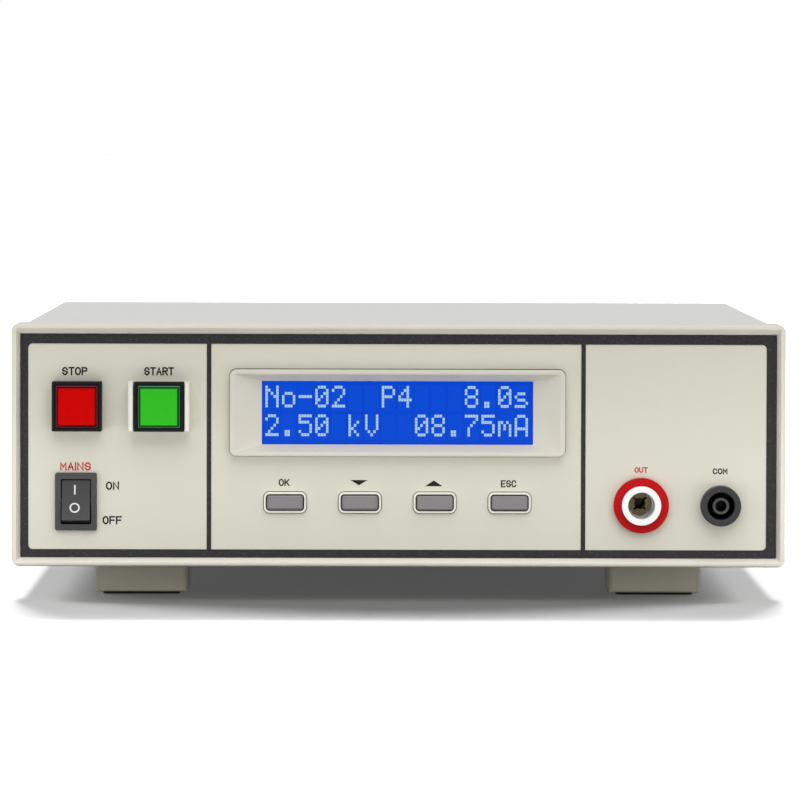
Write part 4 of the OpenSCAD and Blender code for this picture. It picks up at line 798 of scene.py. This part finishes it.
# The screws: zinc-plated pan heads with a cross recess. They hold the cover on the tray,
# the feet under it, the fan and its guard on the rear panel, and that panel on the tray.
def solids_of(node):
    """The lowest and highest corner of each separate solid in a CAD node."""
    form = bmesh.new()
    form.from_mesh(frame["nodes"][node].data)
    bmesh.ops.remove_doubles(form, verts=form.verts, dist=weld)
    boxes, reached = [], set()
    for vert in form.verts:
        if vert in reached:
            continue
        group, waiting = [], [vert]
        reached.add(vert)
        while waiting:
            here = waiting.pop()
            group.append(here.co.copy())
            for edge in here.link_edges:
                there = edge.other_vert(here)
                if there not in reached:
                    reached.add(there)
                    waiting.append(there)
        boxes.append((Vector(map(min, zip(*group))), Vector(map(max, zip(*group)))))
    form.free()
    return boxes


def lathe(start, below, above, tall, vertices, open_ends=False):
    """A round bar or cone that stands on its place."""
    ends = {"fill_type": "NONE" if open_ends else "NGON"}
    inputs = {"Vertices": vertices, "Radius Bottom": below, "Radius Top": above, "Depth": tall}
    return start.node("GeometryNodeMeshCone", ends, inputs)


def moved(start, shape, **change):
    """A shape shifted, turned or stretched by a Transform node."""
    named = {label.capitalize(): value for label, value in change.items()}
    return start.node("GeometryNodeTransform", inputs={"Geometry": shape, **named})


def joined(start, *shapes):
    return start.node("GeometryNodeJoinGeometry", inputs={0: list(shapes)})


def cross_screws(start, points, wires):
    """A pan head on every place, its shank as long as the vector that it faces away from."""
    def bar(long, wide):
        size = start.node("ShaderNodeCombineXYZ", inputs={0: long, 1: wide, 2: wires["Recess"] * 2})
        box = start.node("GeometryNodeMeshCube", inputs={"Size": size})
        up = start.node("ShaderNodeCombineXYZ", inputs={2: wires["Height"]})
        return moved(start, box, translation=up)

    rim = lathe(start, wires["Head"], wires["Head"], wires["Rim"], screw_sides)
    up = start.node("ShaderNodeCombineXYZ", inputs={2: wires["Rim"]})
    dome = lathe(start, wires["Head"], wires["Top"], wires["Height"] - wires["Rim"], screw_sides)
    dome = moved(start, dome, translation=up)
    cross = joined(start, bar(wires["Cross"], wires["Slot"]), bar(wires["Slot"], wires["Cross"]))
    pair = {"Mesh 1": dome, "Mesh 2": cross}
    head = joined(start, rim, start.node("GeometryNodeMeshBoolean", {"operation": "DIFFERENCE"}, pair))
    shank = lathe(start, wires["Thread"], wires["Thread"], 1.0, screw_sides)
    named = {"data_type": "FLOAT_VECTOR"}
    axis = start.node("GeometryNodeInputNamedAttribute", named, {"Name": "facing"})
    away = start.node("ShaderNodeVectorMath", {"operation": "SCALE"}, {0: axis, "Scale": -1.0})
    length = start.node("ShaderNodeVectorMath", {"operation": "LENGTH"}, {0: axis}, output="Value")
    stretch = start.node("ShaderNodeCombineXYZ", inputs={0: 1.0, 1: 1.0, 2: length})
    turn, back = (start.node("FunctionNodeAlignRotationToVector", {"axis": "Z"}, {"Vector": way})
                  for way in (axis, away))
    heads = start.node("GeometryNodeInstanceOnPoints", inputs={
        "Points": points, "Instance": head, "Rotation": turn})
    shanks = start.node("GeometryNodeInstanceOnPoints", inputs={
        "Points": points, "Instance": shank, "Rotation": back, "Scale": stretch})
    return joined(start, heads, shanks)


screw_sides = 32
screw_zinc = turned("screw_zinc", (0.66, 0.67, 0.66, 1), 0.34)
screw_sizes = {"Head": 2.8 * MM, "Top": 1.9 * MM, "Rim": 1.1 * MM, "Height": 1.8 * MM,
               "Thread": 1.5 * MM, "Cross": 3.2 * MM, "Slot": 0.7 * MM, "Recess": 1.0 * MM}
for node in ("cover_screws", "rear_screws"):
    places, facing = [], []
    for low, high in solids_of(node):
        size, middle = high - low, (low + high) / 2
        axis = max(range(3), key=lambda part: size[part])
        outward = 1 if axis == 1 or (axis == 0 and middle.x > 0) else -1
        seat = middle.copy()
        seat[axis] = (high if outward > 0 else low)[axis] - outward * screw_sizes["Height"]
        away = Vector((0, 0, 0))
        away[axis] = outward * (size[axis] - screw_sizes["Height"])
        places.append(seat)
        facing.append(away)
    screws = repeated(node, places, screw_sizes, screw_zinc, cross_screws, facing)
    settle(screws, node + "_crossed", "nickel", nodes=(node,), sharp=35)

# The fan: a moulded glass-filled frame with its motor in the middle, a seven-bladed rotor
# that spins on a steel shaft, and a finger guard of plated wire outside.
fan_black = moulded("fan_black", (0.022, 0.022, 0.023, 1), 0.55, grain=0.5 * MM, depth=0.03 * MM)
softened("fan_frame", 0.25 * MM, fan_black, "black_plastic")
rotor_black = moulded("rotor_black", (0.03, 0.03, 0.032, 1), 0.4, grain=0.6 * MM)
softened("fan_rotor", 0, rotor_black, "black_plastic")
guard_plate = turned("guard_plate", (0.72, 0.72, 0.71, 1), 0.25)
softened("fan_guard", 0, guard_plate, "nickel", sharp=50)

# The mains inlet: a black snap-in moulding with three flat nickel pins and, under the plug
# cavity, a fuse drawer with a finger lip.
inlet_black = moulded("inlet_black", (0.02, 0.02, 0.021, 1), 0.4)
softened("mains_inlet", 0.3 * MM, inlet_black, "black_plastic")
pin_nickel = turned("pin_nickel", (0.72, 0.7, 0.66, 1), 0.22)
softened("inlet_pins", 0.3 * MM, pin_nickel, "nickel", segments=3)
drawer_black = moulded("drawer_black", (0.028, 0.028, 0.03, 1), 0.45)
softened("fuse_drawer", 0.25 * MM, drawer_black, "black_plastic")

# The voltage selector: a black slide switch whose red slider is moved with a screwdriver
# in its slot.
softened("selector_body", 0.25 * MM, inlet_black, "black_plastic")
slider_red = moulded("slider_red", srgb(190, 24, 24), 0.42)
softened("selector_slider", 0.2 * MM, slider_red, "red_collar")

# The earth stud: a brass screw through the rear panel, with a washer and a nut on both
# sides. The rolled thread shows on its bare end as a close row of ridges.
stud_brass = turned("stud_brass", (0.7, 0.53, 0.26, 1), 0.3)
softened("earth_stud", 0.2 * MM, stud_brass, "brass")
stud_low, stud_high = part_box("earth_stud")
stud_x, stud_z = (stud_low.x + stud_high.x) / 2, (stud_low.z + stud_high.z) / 2
thread_pitch, thread_start, thread_count, ridge_sides = 0.8 * MM, 0.7 * MM, 8, 48
face_back = (-math.pi / 2, 0, 0)


def ridges(start, points, wires):
    """A ridge round the depth axis on every place, with its crest in the middle."""
    slopes = []
    for near, far, share in ((wires["Root"], wires["Crest"], -1), (wires["Crest"], wires["Root"], 0)):
        slope = lathe(start, near, far, wires["Half"], ridge_sides, open_ends=True)
        shift = start.node("ShaderNodeCombineXYZ", inputs={1: wires["Half"] * share})
        slopes.append(moved(start, slope, translation=shift, rotation=face_back))
    return on_places(start, points, joined(start, *slopes))


thread_top = stud_high.y - thread_start
places = [(stud_x, thread_top - step * thread_pitch, stud_z) for step in range(thread_count)]
ridge_sizes = {"Root": 2.42 * MM, "Crest": 2.62 * MM, "Half": thread_pitch / 2}
thread = repeated("stud_thread", places, ridge_sizes, stud_brass, ridges)
settle(thread, "stud_thread", "brass", sharp=20)

# The remote sockets: two nine-way connectors with a plated steel shell, two jack posts and
# a black insert drilled for the contacts.
shell_nickel = turned("shell_nickel", (0.48, 0.47, 0.45, 1), 0.3)
softened("remote_connectors", 0.2 * MM, shell_nickel, "nickel")
insert_top, insert_bottom, insert_tall, insert_lift = 15.7 * MM, 14.0 * MM, 7.1 * MM, 0.02 * MM
contact_step, contact_rise = 2.77 * MM, 1.42 * MM
outline = [(-insert_top / 2, insert_tall / 2), (-insert_bottom / 2, -insert_tall / 2),
           (insert_bottom / 2, -insert_tall / 2), (insert_top / 2, insert_tall / 2)]
inserts = bmesh.new()
contacts = []
for low, high in solids_of("remote_connectors"):
    middle = (low + high) / 2
    face_y = high.y + insert_lift
    corners = [(middle.x + px, face_y, middle.z + pz) for px, pz in outline]
    inserts.faces.new([inserts.verts.new(corner) for corner in corners])
    for row, count in ((1, 5), (-1, 4)):
        for spot in range(count):
            across = (spot - (count - 1) / 2) * contact_step
            contacts.append((middle.x + across, face_y + insert_lift, middle.z + row * contact_rise))
turn_faces(inserts.faces, back=True)
keep(inserts, "remote_inserts", moulded("insert_black", grey(0.02), 0.5), "black_plastic")


def contact_holes(start, points, wires):
    """A small dished ring that faces back on every place."""
    ring = lathe(start, wires["Radius"], wires["Throat"], wires["Depth"], contact_sides, open_ends=True)
    return on_places(start, points, moved(start, ring, rotation=face_back))


contact_sides = 16
contact_sizes = {"Radius": 0.55 * MM, "Throat": 0.33 * MM, "Depth": 0.05 * MM}
holes = repeated("remote_contacts", contacts, contact_sizes, brass, contact_holes)
settle(holes, "remote_contacts", "brass", sharp=30)

# The circuit boards: glass-fibre laminate under green solder mask, with copper tracks that
# show through as paler lines, on brass standoffs.
track_density, track_share, track_bend = 420.0, 0.3, 4 * MM
mask_green, start, place = begin("mask_green")
x = start.node("ShaderNodeSeparateXYZ", inputs={0: place})
bend = noise(start, place, 12 * MM) * track_bend
along = ((x + bend) * track_density).maths("FRACT")
over = ((x.also("Y") + x.also("Z") + bend) * track_density).maths("FRACT")
swap = noise(start, place, 20 * MM) > 0.5
line = swap * (along < track_share) + (1 - swap) * (over < track_share)
mask = line.between((0.008, 0.09, 0.035, 1), (0.02, 0.17, 0.06, 1))
close(start, mask, line.between(0.3, 0.22), line, 0.03 * MM, {"Coat Weight": 0.2})
dress(mask_green, "lcd_board", "key_board", "control_board", "amplifier_board")
dress(brass, "board_standoffs")
part_black = moulded("part_black", (0.02, 0.02, 0.021, 1), 0.5, grain=0.6 * MM, depth=0.03 * MM)
dress(part_black, "control_parts", "power_transistors")

# The high-voltage transformer: a stack of varnished steel laminations round a winding that
# is cast in brown resin, held down by a steel strap.
sheet_pitch = 0.5 * MM
core_varnish, start, place = begin("core_varnish")
depth = start.node("ShaderNodeSeparateXYZ", inputs={0: place}, output="Y")
sheets = (depth * (2 * math.pi / sheet_pitch)).maths("SINE")
cloud = noise(start, place, 10 * MM, 4.0)
varnish = cloud.between((0.05, 0.05, 0.055, 1), (0.16, 0.15, 0.15, 1))
close(start, varnish, cloud.between(0.3, 0.5), sheets, 0.08 * MM, {"Metallic": 0.7})
dress(core_varnish, "hv_core")
resin_brown = moulded("resin_brown", (0.2, 0.075, 0.03, 1), 0.3, grain=2 * MM, depth=0.08 * MM,
                      shade=0.3, fixed={"Coat Weight": 0.3})
dress(resin_brown, "hv_coil")

# The supply transformer: a ring core wound with yellow polyester tape, whose laps run round
# the ring, under a steel clamp plate.
tape_laps = 72
ring_low, ring_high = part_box("supply_coil")
tape_yellow, start, place = begin("tape_yellow")
x = start.node("ShaderNodeSeparateXYZ", inputs={0: place})
off_x = x - (ring_low.x + ring_high.x) / 2
off_y = x.also("Y") - (ring_low.y + ring_high.y) / 2
lap = (off_y.maths("ARCTAN2", off_x) * (tape_laps / (2 * math.pi))).maths("FRACT")
cloud = noise(start, place, 6 * MM)
mixed = lap * 0.6 + cloud * 0.4
tape = mixed.between((0.42, 0.3, 0.07, 1), (0.72, 0.56, 0.2, 1))
close(start, tape, cloud.between(0.25, 0.4), lap, 0.2 * MM)
dress(tape_yellow, "supply_coil")

# The heat sink: an aluminium extrusion on which the power transistors are screwed. Its die
# left fine lines along the fins.
die_lines = (2200.0, 10.0, 2200.0)
sink_metal, start, place = begin("sink_metal")
lines = streaked(start, place, die_lines)
bare = lines.between((0.5, 0.5, 0.52, 1), (0.75, 0.75, 0.77, 1))
close(start, bare, lines.between(0.3, 0.45), lines, 0.02 * MM, {"Metallic": 1.0})
dress(sink_metal, "heat_sink")
